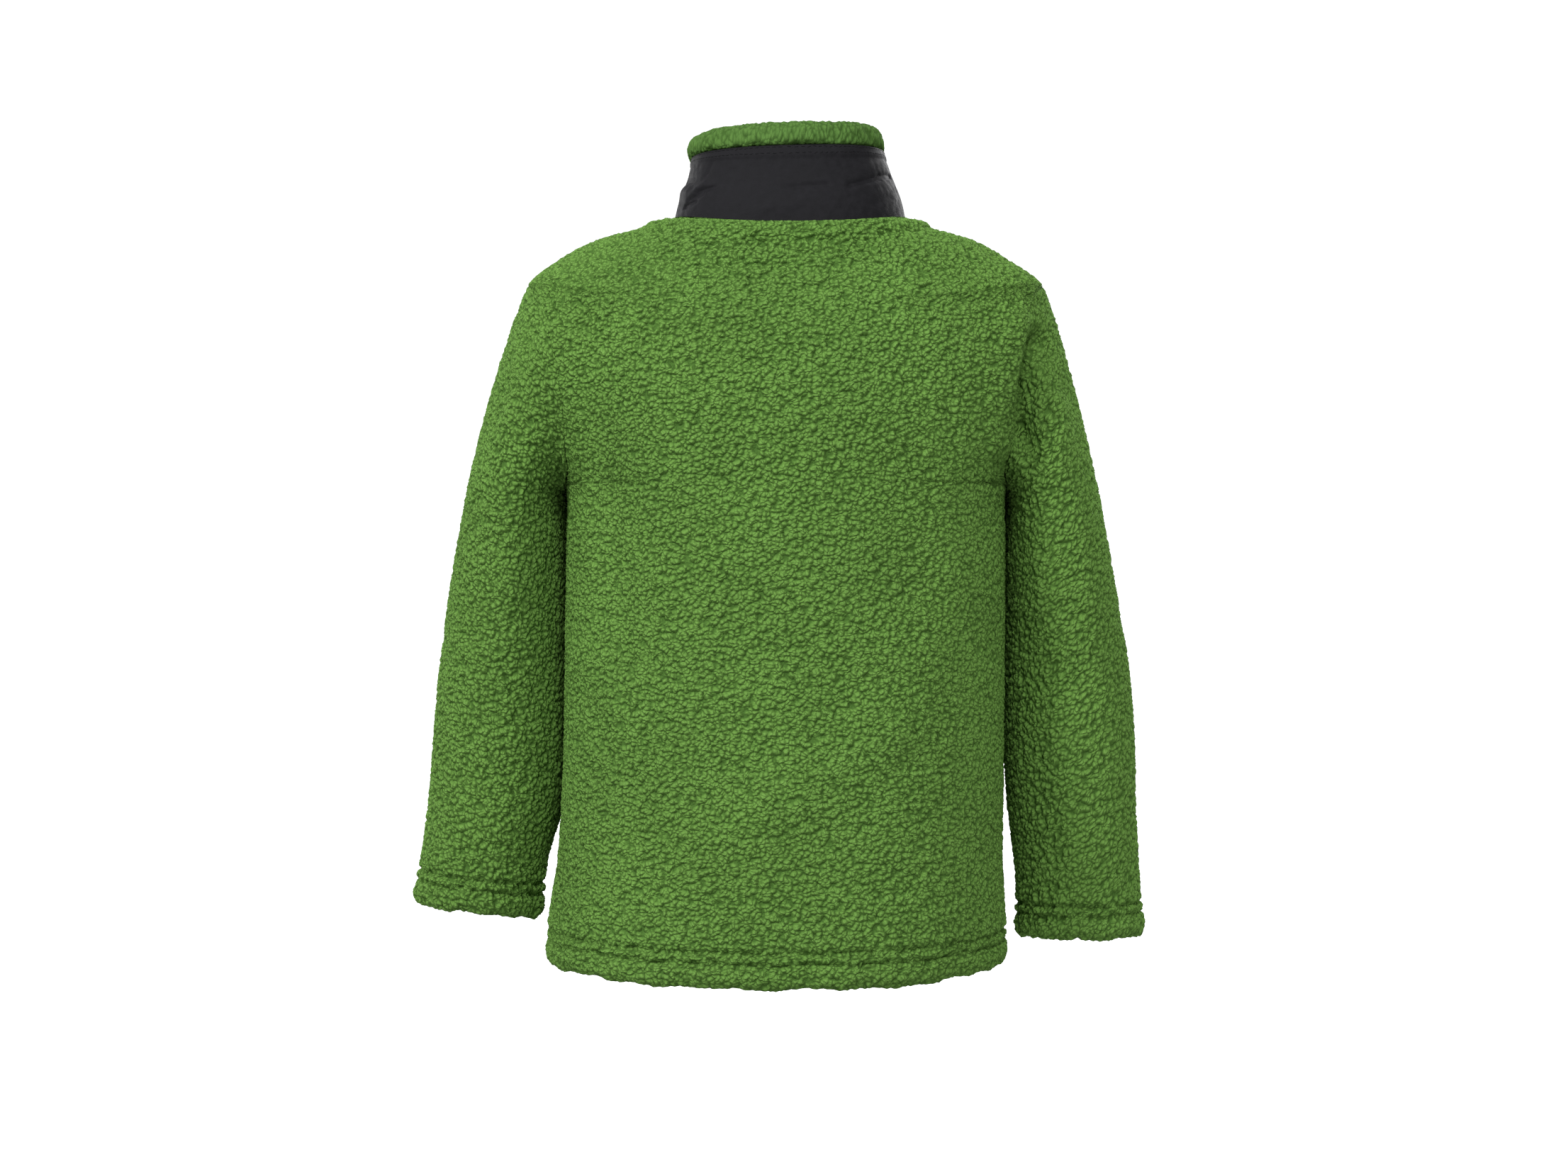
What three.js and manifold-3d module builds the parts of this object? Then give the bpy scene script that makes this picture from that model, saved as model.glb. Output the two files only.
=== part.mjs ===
// A child's fleece jacket, filled out as it is when worn, with nobody in it.
// Millimetres, +Z up. The wearer faces -Y, so the wearer's left side is at +X.
// The origin is the middle of the neck opening, level with the shoulder points beside the neck.
import * as THREE from "three";
import Module from "manifold-3d";

const wasm = await Module();
wasm.setup();

// Cloth, sewing and hardware sizes
const fleeceThick = 3;
const shellThick = 1;
const tapeThick = 0.8;
const seamGap = 0.3;
const sectionPower = 2.3; // 2 is an ellipse, more is squarer
const zipGap = 6; // from the middle of the zip to the cloth's edge
const tapeReach = 14; // from the middle of the zip to the tape's hidden edge
const tapeGap = 0.9; // behind the cloth, whose faces are flat between columns
const chainHalf = 2.6;
const chainThick = 2.4;
const chainSpan = { from: 0.024, to: 0.953 }; // shares of the zip's length
const foldFade = { from: 0.05, to: 0.4 }; // of the sine of the angle from the side seam
const hemThinning = { from: 16, to: 34 }; // how far past the tape the hem's fold is thinner

// The body's outer face, one row for each section, from the hem to the neck seam.
// up runs along the cloth from the hem. A section's height differs at the side, back and front.
const torsoRings = [
  { up: 0, sideZ: -439, backZ: -443.5, frontZ: -443, middleX: 4.5, halfWidth: 134.5, back: 95, front: 98 },
  { up: 28, sideZ: -412.5, backZ: -415.5, frontZ: -415, middleX: 4, halfWidth: 134.5, back: 96, front: 99.5 },
  { up: 60, sideZ: -383, backZ: -383, frontZ: -383, middleX: 2.5, halfWidth: 131.5, back: 95, front: 100 },
  { up: 110, sideZ: -333, backZ: -333, frontZ: -333, middleX: 0.6, halfWidth: 130, back: 93, front: 99.5 },
  { up: 200, sideZ: -243, backZ: -243, frontZ: -243, middleX: -0.6, halfWidth: 129.6, back: 90.5, front: 97 },
  { up: 250, sideZ: -193, backZ: -193, frontZ: -194, middleX: -1, halfWidth: 129.4, back: 91, front: 95.5 },
  { up: 283, sideZ: -160, backZ: -160, frontZ: -164, middleX: -1.2, halfWidth: 129.5, back: 92.5, front: 95 },
  { up: 313, sideZ: -130, backZ: -131, frontZ: -138, middleX: -1.2, halfWidth: 137, back: 93.5, front: 94 },
  { up: 343, sideZ: -100, backZ: -103, frontZ: -116, middleX: -1, halfWidth: 149, back: 92.5, front: 92 },
  { up: 373, sideZ: -70, backZ: -77, frontZ: -100, middleX: -1, halfWidth: 157, back: 88, front: 88 },
  { up: 401, sideZ: -42, backZ: -57, frontZ: -89, middleX: -0.8, halfWidth: 152, back: 80.5, front: 83.5 },
  { up: 420, sideZ: -28, backZ: -45, frontZ: -80, middleX: 0, halfWidth: 134.5, back: 75, front: 79 },
  { up: 440, sideZ: -15.6, backZ: -34, frontZ: -70, middleX: -0.6, halfWidth: 112, back: 69.5, front: 74.5 },
  { up: 460, sideZ: -8.4, backZ: -23, frontZ: -59.5, middleX: -1.4, halfWidth: 86.5, back: 65.5, front: 70 },
  { up: 476, sideZ: -2.5, backZ: -11, frontZ: -47, middleX: -3.6, halfWidth: 72.6, back: 63.5, front: 66 },
];

// How a sleeve's cap runs on from the armhole: how far it keeps to its first direction, how far it
// arrives straight, how much it tucks in behind the body's back edge, and which way it falls at the armpit.
const cap = {
  left: { full: 0.75, tuck: -0.25, foldPower: 2.2 },
  right: { full: 0.55, tuck: 1.4, foldPower: 1.2 },
  arrive: 0.9,
  sag: 0.45,
  fallOut: 0.8,
  fallDown: 0.6,
};
const armpitUp = 283;
const shoulderUp = 401;
const neckUp = 476;

// The armhole's edge. turn goes from the armpit, 0, to the shoulder, 180 degrees; back and front say how
// far round the section the edge is from the side there, in radians.
const armholeEdges = [
  { turn: 0, back: 0, front: 0 },
  { turn: 30, back: 0.26, front: 0.3 },
  { turn: 60, back: 0.43, front: 0.48 },
  { turn: 90, back: 0.565, front: 0.59 },
  { turn: 120, back: 0.575, front: 0.59 },
  { turn: 150, back: 0.41, front: 0.43 },
  { turn: 180, back: 0, front: 0 },
];

// The collar's outer face. up runs from its tucked-in lower edge, and its left side leans lower.
const collarRings = [
  { up: 0, sideZ: -6, backZ: -14.6, frontZ: -50.5, middleX: -3.8, halfWidth: 69.2, back: 60, front: 62.6 },
  { up: 14, sideZ: 9, backZ: 2, frontZ: -37, middleX: -3.6, halfWidth: 65.6, back: 56.5, front: 63.4 },
  { up: 28, sideZ: 24, backZ: 18, frontZ: -23.5, middleX: -3.2, halfWidth: 59.8, back: 51.5, front: 64.6 },
  { up: 42, sideZ: 37.5, backZ: 37, frontZ: -9, middleX: -2, halfWidth: 56.2, back: 47, front: 66 },
  { up: 56, sideZ: 51.5, backZ: 51.8, frontZ: 5, middleX: -1.6, halfWidth: 54, back: 43.5, front: 67.4 },
];
const collarLean = { from: 6, to: 52, most: 2.4 };
const collarShellTop = 40;

// The tube of each sleeve from the armpit down. The middle of each section is x, y, z.
const sleeveRings = {
  left: [
    { z: -172, x: 160.2, y: -15, halfWidth: 30.7, halfDepth: 52, tilt: 0 },
    { z: -215, x: 164, y: -19, halfWidth: 34.8, halfDepth: 50, tilt: 2 },
    { z: -260, x: 167.4, y: -22, halfWidth: 38.2, halfDepth: 46, tilt: 3 },
    { z: -305, x: 169.8, y: -23, halfWidth: 40.2, halfDepth: 42, tilt: 4 },
    { z: -345, x: 172.8, y: -24, halfWidth: 40.4, halfDepth: 38, tilt: 5 },
    { z: -380, x: 180, y: -25, halfWidth: 37.8, halfDepth: 33, tilt: 6.5 },
    { z: -413, x: 184.6, y: -26, halfWidth: 38.4, halfDepth: 29.5, tilt: 7 },
  ],
  right: [
    { z: -172, x: 160.6, y: -15, halfWidth: 28.6, halfDepth: 52, tilt: 0 },
    { z: -220, x: 165.1, y: -19, halfWidth: 33.3, halfDepth: 50, tilt: 1 },
    { z: -265, x: 169, y: -22, halfWidth: 37.4, halfDepth: 46, tilt: 1.5 },
    { z: -310, x: 171.2, y: -23, halfWidth: 39.2, halfDepth: 42, tilt: 1.5 },
    { z: -350, x: 173, y: -24, halfWidth: 38.4, halfDepth: 38, tilt: 1.5 },
    { z: -390, x: 176.4, y: -25, halfWidth: 37.2, halfDepth: 33, tilt: 1 },
    { z: -429, x: 178.6, y: -28, halfWidth: 38, halfDepth: 29.5, tilt: 0.5 },
  ],
};

// The folded hem of the body and the cuffs: how far the outer face stands out, and how thick the fold is.
const hemProfile = [
  { up: 0, out: -1.6, thick: 3.2 },
  { up: 3, out: 0.5, thick: 6 },
  { up: 8, out: 1.4, thick: 7 },
  { up: 13, out: -0.4, thick: 4.8 },
  { up: 16, out: 0.4, thick: 5.6 },
  { up: 19, out: -0.4, thick: 4.4 },
  { up: 24, out: 0.2, thick: 3.1 },
  { up: 30, out: 0, thick: fleeceThick },
];
const neckRidge = { up: 466, out: 1.6, spread: 4 };

// The largest soft folds, each along a line on the cloth: a trough where out is negative, else a ridge.
// On the body, across is the distance from the middle and along runs up from the hem.
const bodyFolds = {
  back: [
    { fromAcross: 112, fromAlong: 378, toAcross: 92, toAlong: 190, halfWidth: 17, out: -3.4 },
    { fromAcross: 136, fromAlong: 366, toAcross: 126, toAlong: 306, halfWidth: 12, out: 3.6 },
    { fromAcross: 66, fromAlong: 330, toAcross: 52, toAlong: 170, halfWidth: 22, out: 1.4 },
    { fromAcross: -133, fromAlong: 376, toAcross: -122, toAlong: 306, halfWidth: 10, out: 4.2 },
    { fromAcross: -86, fromAlong: 405, toAcross: -66, toAlong: 225, halfWidth: 22, out: -2.6 },
    { fromAcross: 26, fromAlong: 84, toAcross: -58, toAlong: 138, halfWidth: 17, out: 2.2 },
    { fromAcross: 12, fromAlong: 128, toAcross: -34, toAlong: 166, halfWidth: 16, out: -1.4 },
  ],
  front: [
    { fromAcross: 106, fromAlong: 372, toAcross: 84, toAlong: 215, halfWidth: 18, out: -3 },
    { fromAcross: -110, fromAlong: 380, toAcross: -80, toAlong: 235, halfWidth: 17, out: -3.2 },
    { fromAcross: 112, fromAlong: 190, toAcross: 66, toAlong: 120, halfWidth: 16, out: -2 },
    { fromAcross: -112, fromAlong: 150, toAcross: -60, toAlong: 96, halfWidth: 18, out: 2 },
  ],
};
// On a sleeve, across runs round it from the inner side by way of the back, and along is the height.
const sleeveGirth = 250;
const sleeveFolds = {
  left: [
    { fromAcross: 40, fromAlong: -108, toAcross: 24, toAlong: -170, halfWidth: 13, out: -3 },
    { fromAcross: 66, fromAlong: -150, toAcross: 60, toAlong: -240, halfWidth: 18, out: 1.5 },
    { fromAcross: 226, fromAlong: -212, toAcross: 186, toAlong: -228, halfWidth: 10, out: -3 },
    { fromAcross: 222, fromAlong: -252, toAcross: 176, toAlong: -258, halfWidth: 10, out: -2.6 },
    { fromAcross: 216, fromAlong: -296, toAcross: 184, toAlong: -288, halfWidth: 9, out: -2 },
  ],
  right: [
    { fromAcross: 90, fromAlong: -79, toAcross: 46, toAlong: -138, halfWidth: 8.5, out: -6.6 },
    { fromAcross: 70, fromAlong: -130, toAcross: 62, toAlong: -222, halfWidth: 13, out: -3 },
    { fromAcross: 36, fromAlong: -130, toAcross: 38, toAlong: -230, halfWidth: 12, out: 1.6 },
    { fromAcross: 228, fromAlong: -220, toAcross: 190, toAlong: -240, halfWidth: 10, out: -3 },
    { fromAcross: 224, fromAlong: -268, toAcross: 180, toAlong: -270, halfWidth: 11, out: -2.8 },
    { fromAcross: 214, fromAlong: -312, toAcross: 182, toAlong: -302, halfWidth: 9, out: -2 },
  ],
};

const columns = { back: 18, front: 9, sleeveHalf: 12, collar: 28 };
const torsoRows = [
  ...hemProfile.slice(0, 7).map((row) => row.up),
  ...[48, 82, 116, 150, 184, 218, 251],
  ...armholeRows(),
  ...[412, 424, 436, 448, 458, 466, 471, neckUp],
];

const green = { color: 0x4f8f2c, roughness: 0.95, metalness: 0 };
const black = { color: 0x1e1e21, roughness: 0.6, metalness: 0 };
const tapeBlack = { color: 0x151516, roughness: 0.8, metalness: 0 };
const zipBlack = { color: 0x121213, roughness: 0.35, metalness: 0.1 };
const pullMetal = { color: 0x2a2a2c, roughness: 0.4, metalness: 0.6 };

function armholeRows() {
  const rows = [];
  for (let i = 0; i <= columns.sleeveHalf; i++) {
    const share = (1 - Math.cos((Math.PI * i) / columns.sleeveHalf)) / 2;
    rows.push(armpitUp + share * (shoulderUp - armpitUp));
  }
  return rows;
}

// Every column of a table at one value of its key, on a smooth curve through the rows.
function tableAt(table, key, value) {
  const rising = table[1][key] > table[0][key];
  const last = table.length - 2;
  let i = 0;
  while (i < last && (rising ? value > table[i + 1][key] : value < table[i + 1][key])) i++;
  const [a, b] = [table[i], table[i + 1]];
  const before = table[i - 1] ?? a;
  const after = table[i + 2] ?? b;
  const width = b[key] - a[key];
  const t = (value - a[key]) / width;
  const found = {};
  for (const name of Object.keys(a)) {
    const middle = (b[name] - a[name]) / width;
    const early = before === a ? middle : slope(before, a, b, key, name);
    const late = after === b ? middle : slope(a, b, after, key, name);
    found[name] =
      a[name] * (2 * t ** 3 - 3 * t ** 2 + 1) +
      early * width * (t ** 3 - 2 * t ** 2 + t) +
      b[name] * (3 * t ** 2 - 2 * t ** 3) +
      late * width * (t ** 3 - t ** 2);
  }
  return found;
}

function slope(a, b, c, key, name) {
  const [early, late] = [b[key] - a[key], c[key] - b[key]];
  const [first, second] = [(b[name] - a[name]) / early, (c[name] - b[name]) / late];
  return (first * late + second * early) / (early + late);
}

function smoothStep(value, low, high) {
  const t = Math.min(1, Math.max(0, (value - low) / (high - low)));
  return t * t * (3 - 2 * t);
}

// A point of a body or collar section. Angle 0 is the left side, a quarter turn is the back.
function ringPoint(ring, angle) {
  const [across, along] = [Math.cos(angle), Math.sin(angle)];
  const bend = 2 / sectionPower;
  const depth = along > 0 ? ring.back : ring.front;
  const endZ = along > 0 ? ring.backZ : ring.frontZ;
  return new THREE.Vector3(
    ring.middleX + Math.sign(across) * ring.halfWidth * Math.abs(across) ** bend,
    Math.sign(along) * depth * Math.abs(along) ** bend,
    ring.sideZ + (endZ - ring.sideZ) * along ** 2 - (ring.lean ?? 0) * across,
  );
}

function angleAtX(ring, x, back) {
  const share = (x - ring.middleX) / ring.halfWidth;
  const across = Math.sign(share) * Math.abs(share) ** (sectionPower / 2);
  return back ? Math.acos(across) : -Math.acos(across);
}

function angleAtY(ring, y) {
  const depth = y > 0 ? ring.back : ring.front;
  return Math.sign(y) * Math.asin((Math.abs(y) / depth) ** (sectionPower / 2));
}

const torsoRing = (up) => tableAt(torsoRings, "up", up);

function collarRing(up) {
  const lean = collarLean.most * smoothStep(up, collarLean.from, collarLean.to);
  return { ...tableAt(collarRings, "up", up), lean };
}

// The way out of a surface made of rings, by small steps along it and round it.
function ringNormal(ringAt, up, angle) {
  const [stepUp, stepRound] = [0.5, 0.004];
  const upward = ringPoint(ringAt(up + stepUp), angle).sub(ringPoint(ringAt(up - stepUp), angle));
  const round = ringPoint(ringAt(up), angle + stepRound).sub(ringPoint(ringAt(up), angle - stepRound));
  return round.cross(upward).normalize();
}

// Folds die away towards the side and shoulder seams, which the panels share.
function sideFade(angle) {
  const round = Math.abs(Math.sin(angle));
  return smoothStep(round, foldFade.from, foldFade.to);
}

// How far the folds move the cloth out at one place.
function foldOut(folds, across, along) {
  let out = 0;
  for (const fold of folds) {
    const run = [fold.toAcross - fold.fromAcross, fold.toAlong - fold.fromAlong];
    const from = [across - fold.fromAcross, along - fold.fromAlong];
    const share = (from[0] * run[0] + from[1] * run[1]) / (run[0] ** 2 + run[1] ** 2);
    const held = Math.min(1, Math.max(0, share));
    const away = Math.hypot(from[0] - held * run[0], from[1] - held * run[1]);
    out += fold.out * Math.exp(-((away / fold.halfWidth) ** 2));
  }
  return out;
}

const hemAt = (up) => (up >= 30 ? { out: 0, thick: fleeceThick } : tableAt(hemProfile, "up", up));
const neckRidgeAt = (up) => neckRidge.out * Math.exp(-(((up - neckRidge.up) / neckRidge.spread) ** 2));

// How far the body's folds move its cloth out at a section and angle.
function bodyFoldOut(up, angle) {
  const folds = Math.sin(angle) > 0 ? bodyFolds.back : bodyFolds.front;
  return foldOut(folds, ringPoint(torsoRing(up), angle).x, up) * sideFade(angle);
}

// The body's cloth at a section and angle: its outer and inner point.
function torsoWall(up, angle) {
  const point = ringPoint(torsoRing(up), angle);
  const normal = ringNormal(torsoRing, up, angle);
  const hem = hemAt(up);
  const pastTape = Math.abs(point.x) - tapeReach;
  const nearZip = angle < 0 ? smoothStep(pastTape, hemThinning.from, hemThinning.to) : 1;
  const thick = fleeceThick + (hem.thick - fleeceThick) * nearZip;
  const out = hem.out * nearZip + neckRidgeAt(up) + bodyFoldOut(up, angle);
  const outer = point.addScaledVector(normal, out);
  const inward = normal.clone();
  inward.z *= 1 - smoothStep(up, neckRidge.up - 10, neckUp); // the neck's edge stands up into the seam
  return [outer, outer.clone().addScaledVector(inward.normalize(), -thick)];
}

// How far round the section the armhole's edge is from the side, at one height.
function armholeEdge(up, face) {
  const share = (up - armpitUp) / (shoulderUp - armpitUp);
  if (share <= 0 || share >= 1) return 0;
  const turn = THREE.MathUtils.radToDeg(Math.acos(1 - 2 * share));
  return tableAt(armholeEdges, "turn", turn)[face];
}

// A closed wall from a grid of outer and inner points. A tube's last column joins its first.
function wallGeometry(grid, tube = false, flip = false) {
  const [rows, across] = [grid.length, grid[0].length];
  const points = [];
  for (const side of [0, 1]) {
    for (const row of grid) for (const pair of row) points.push(...pair[side].toArray());
  }
  const index = [];
  const at = (side, i, j) => side * rows * across + i * across + (j % across);
  const quad = (a, b, c, d) => (flip ? index.push(a, c, b, a, d, c) : index.push(a, b, c, a, c, d));
  const cells = tube ? across : across - 1;
  for (let i = 0; i < rows - 1; i++) {
    for (let j = 0; j < cells; j++) {
      quad(at(0, i, j), at(0, i, j + 1), at(0, i + 1, j + 1), at(0, i + 1, j));
      quad(at(1, i, j), at(1, i + 1, j), at(1, i + 1, j + 1), at(1, i, j + 1));
    }
  }
  for (let j = 0; j < cells; j++) {
    quad(at(0, 0, j), at(1, 0, j), at(1, 0, j + 1), at(0, 0, j + 1));
    quad(at(0, rows - 1, j), at(0, rows - 1, j + 1), at(1, rows - 1, j + 1), at(1, rows - 1, j));
  }
  if (!tube) {
    for (let i = 0; i < rows - 1; i++) {
      quad(at(0, i, 0), at(0, i + 1, 0), at(1, i + 1, 0), at(1, i, 0));
      quad(at(0, i, cells), at(1, i, cells), at(1, i + 1, cells), at(0, i + 1, cells));
    }
  }
  const geometry = new THREE.BufferGeometry();
  geometry.setAttribute("position", new THREE.Float32BufferAttribute(points, 3));
  geometry.setIndex(index);
  return geometry;
}

function piece(name, geometry, look) {
  geometry.computeVertexNormals();
  const mesh = new THREE.Mesh(geometry, new THREE.MeshStandardMaterial(look));
  mesh.name = name;
  return mesh;
}

// A panel of the body between two edges, each given as an angle at every height.
function panelGeometry(startAngle, endAngle, across) {
  const grid = torsoRows.map((up) => {
    const [start, end] = [startAngle(up), endAngle(up)];
    const row = [];
    for (let j = 0; j <= across; j++) row.push(torsoWall(up, start + ((end - start) * j) / across));
    return row;
  });
  return wallGeometry(grid);
}

function backEdge(up) {
  return Math.max(armholeEdge(up, "back"), angleAtY(torsoRing(up), seamGap / 2));
}

function frontEdge(up) {
  return Math.min(-armholeEdge(up, "front"), angleAtY(torsoRing(up), -seamGap / 2));
}

const backPanel = () => panelGeometry(backEdge, (up) => Math.PI - backEdge(up), columns.back);

function frontPanel(side) {
  const zipAngle = (up) => angleAtX(torsoRing(up), side * zipGap, false);
  if (side > 0) return panelGeometry(zipAngle, frontEdge, columns.front);
  return panelGeometry((up) => -Math.PI - frontEdge(up), zipAngle, columns.front);
}

// The armhole's loop on one side, from the armpit up the back and down the front,
// with the way into the hole along the cloth.
function armholeLoop(side) {
  const count = 2 * columns.sleeveHalf;
  const rows = armholeRows();
  const place = (i) => {
    const step = (i + count) % count;
    const onBack = step <= columns.sleeveHalf;
    const up = rows[onBack ? step : count - step];
    const edge = armholeEdge(up, onBack ? "back" : "front");
    const turned = onBack ? edge : -edge;
    const angle = side > 0 ? turned : Math.PI - turned;
    return { up, angle };
  };
  const loop = [];
  for (let i = 0; i < count; i++) {
    const { up, angle } = place(i);
    const [before, after] = [place(i - 1), place(i + 1)].map((p) => ringPoint(torsoRing(p.up), p.angle));
    const normal = ringNormal(torsoRing, up, angle);
    const inward = after.clone().sub(before).cross(normal).normalize().multiplyScalar(-side);
    const point = ringPoint(torsoRing(up), angle).addScaledVector(normal, bodyFoldOut(up, angle));
    loop.push({ point, normal, inward });
  }
  return loop;
}

// A point of a sleeve's tube. Turn 0 is the inner side, a quarter turn is the back.
function sleevePoint(side, z, turn) {
  const ring = tableAt(sleeveRings[side > 0 ? "left" : "right"], "z", z);
  const tilt = THREE.MathUtils.degToRad(ring.tilt);
  const outward = -ring.halfWidth * Math.cos(turn);
  return new THREE.Vector3(
    side * (ring.x + outward * Math.cos(tilt)),
    ring.y + ring.halfDepth * Math.sin(turn),
    ring.z + outward * Math.sin(tilt),
  );
}

// The rings of a sleeve's outer face: the cap from the armhole, then the tube down to the cuff.
function sleeveGrid(side) {
  const table = sleeveRings[side > 0 ? "left" : "right"];
  const [topZ, cuffZ] = [table[0].z, table.at(-1).z];
  const loop = armholeLoop(side);
  const turns = loop.map((_, i) => (Math.PI * i) / columns.sleeveHalf);
  const rings = [];
  for (const t of [0, 0.08, 0.2, 0.35, 0.5, 0.67, 0.84]) {
    rings.push(loop.map((start, i) => capPoint(side, start, turns[i], topZ, t)));
  }
  const plainEnd = cuffZ + 30;
  const plainRings = 8;
  for (let i = 0; i < plainRings; i++) {
    const z = topZ + ((plainEnd - topZ) * i) / plainRings;
    rings.push(turns.map((turn) => sleevePoint(side, z, turn)));
  }
  for (const row of [...hemProfile].reverse()) {
    rings.push(turns.map((turn) => sleevePoint(side, cuffZ + row.up, turn)));
  }
  return rings;
}

// Where the sleeve's cloth sets off from the armhole: along the body's cloth at the shoulder,
// out and down at the armpit, where it folds.
function capStart(side, start, turn) {
  const { tuck, foldPower } = side > 0 ? cap.left : cap.right;
  const fold = ((1 + Math.cos(turn)) / 2) ** foldPower;
  const fall = new THREE.Vector3(side * cap.fallOut, 0, -cap.fallDown);
  const behind = Math.max(0, Math.sin(turn));
  const along = start.inward.clone().add(new THREE.Vector3(0, -tuck * behind, -cap.sag));
  return along.multiplyScalar(1 - fold).addScaledVector(fall, fold).normalize();
}

function capPoint(side, start, turn, topZ, t) {
  const from = start.point.clone().addScaledVector(start.inward, seamGap);
  const to = sleevePoint(side, topZ, turn);
  const heading = sleevePoint(side, topZ - 2, turn).sub(to).normalize();
  const length = from.distanceTo(to);
  const { full } = side > 0 ? cap.left : cap.right;
  const leave = capStart(side, start, turn).multiplyScalar(length * full);
  const arrive = heading.multiplyScalar(length * cap.arrive);
  return from
    .multiplyScalar(2 * t ** 3 - 3 * t ** 2 + 1)
    .addScaledVector(leave, t ** 3 - 2 * t ** 2 + t)
    .addScaledVector(to, 3 * t ** 2 - 2 * t ** 3)
    .addScaledVector(arrive, t ** 3 - t ** 2);
}

function sleeveGeometry(side) {
  const outer = sleeveGrid(side);
  const loop = armholeLoop(side);
  const count = loop.length;
  const hemStart = outer.length - hemProfile.length;
  const folds = sleeveFolds[side > 0 ? "left" : "right"];
  const grid = outer.map((ring, i) =>
    ring.map((point, j) => {
      const round = ring[(j + 1) % count].clone().sub(ring[(j + count - 1) % count]);
      const above = outer[Math.max(i - 1, 0)][j];
      const below = outer[Math.min(i + 1, outer.length - 1)][j];
      const turn = (Math.PI * j) / columns.sleeveHalf;
      const down = i === 0 ? capStart(side, loop[j], turn) : below.clone().sub(above);
      const normal = down.cross(round).multiplyScalar(-side).normalize();
      if (i === 0) normal.lerp(loop[j].normal, (1 - Math.cos(turn)) / 2);
      const hem = i < hemStart ? { out: 0, thick: fleeceThick } : [...hemProfile].reverse()[i - hemStart];
      const fold = i === 0 ? 0 : foldOut(folds, (sleeveGirth * j) / count, point.z);
      const face = point.clone().addScaledVector(normal, hem.out + fold);
      return [face, face.clone().addScaledVector(normal, -hem.thick)];
    }),
  );
  return wallGeometry(grid, true, side < 0);
}

// A point beside the collar's outer face: up along it, and out from it.
function collarPoint(up, out, share) {
  const ring = collarRing(up);
  const start = angleAtX(ring, zipGap, false);
  const end = 2 * Math.PI + angleAtX(ring, -zipGap, false);
  const angle = start + (end - start) * share;
  return ringPoint(ring, angle).addScaledVector(ringNormal(collarRing, up, angle), out);
}

// A closed outline of up and out, swept round the collar from one side of the zip to the other.
function collarGeometry(outline) {
  const points = [];
  for (let j = 0; j <= columns.collar; j++) {
    for (const spot of outline) points.push(...collarPoint(spot.up, spot.out, j / columns.collar).toArray());
  }
  const size = outline.length;
  const index = [];
  for (let j = 0; j < columns.collar; j++) {
    for (let k = 0; k < size; k++) {
      const [a, b] = [j * size + k, j * size + ((k + 1) % size)];
      index.push(a, a + size, b + size, a, b + size, b);
    }
  }
  const corners = outline.map((spot) => new THREE.Vector2(spot.out, spot.up));
  const flat = THREE.ShapeUtils.triangulateShape(corners, []);
  const last = columns.collar * size;
  for (const [a, b, c] of flat) index.push(a, b, c, last + a, last + c, last + b);
  const geometry = new THREE.BufferGeometry();
  geometry.setAttribute("position", new THREE.Float32BufferAttribute(points, 3));
  geometry.setIndex(index);
  return geometry;
}

// The woven outside of the collar, with the raised stitched edge at its top.
const collarShell = [
  { up: 0, out: -shellThick },
  { up: 0, out: 0 },
  { up: 14, out: 0 },
  { up: 28, out: 0 },
  { up: 34.5, out: 0 },
  { up: 35, out: 0.5 },
  { up: 39.5, out: 0.5 },
  { up: collarShellTop, out: -0.2 },
  { up: collarShellTop, out: -shellThick },
  { up: 28, out: -shellThick },
  { up: 14, out: -shellThick },
];
const liningFace = -shellThick - tapeGap - tapeThick - seamGap;

// The fleece inside of the collar, rolled over the top edge.
const collarLining = [
  { up: 5, out: liningFace - fleeceThick },
  { up: 5, out: liningFace },
  { up: 21, out: liningFace },
  { up: 39, out: liningFace },
  { up: collarShellTop + seamGap, out: -0.6 },
  { up: 41.6, out: 1.3 },
  { up: 46, out: 2.1 },
  { up: 50.5, out: 1 },
  { up: 54, out: -3 },
  { up: 53.4, out: -6.6 },
  { up: 50, out: -9 },
  { up: 44.5, out: -9.2 },
  { up: 39.5, out: -7 },
  { up: 34, out: liningFace - fleeceThick },
  { up: 18, out: liningFace - fleeceThick },
];

// Where the tape runs behind the cloth's outer face: the heights of its points, and how far in they are.
// It lies deeper round the neck seam, where the cloth bends.
const zipPath = [
  { ringAt: torsoRing, ups: [1, 40, 90, 140, 190, 240, 290, 340, 390, 420], extra: fleeceThick + tapeGap },
  { ringAt: torsoRing, ups: [440], extra: fleeceThick + tapeGap + 1 },
  { ringAt: collarRing, ups: [-6, 0], extra: shellThick + tapeGap + 0.9 },
  { ringAt: collarRing, ups: [6, 15, 26, 38], extra: shellThick + tapeGap },
];

// The line of the zip's tape at one distance from the middle, from the hem to the collar's top.
function zipLine(x, depth) {
  const points = [];
  const inFrom = (ringAt, up, extra) => {
    const angle = angleAtX(ringAt(up), x, false);
    const normal = ringNormal(ringAt, up, angle);
    return ringPoint(ringAt(up), angle).addScaledVector(normal, -(extra + depth));
  };
  for (const { ringAt, ups, extra } of zipPath) {
    for (const up of ups) points.push(inFrom(ringAt, up, extra));
  }
  return new THREE.CatmullRomCurve3(points, false, "centripetal");
}

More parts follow.
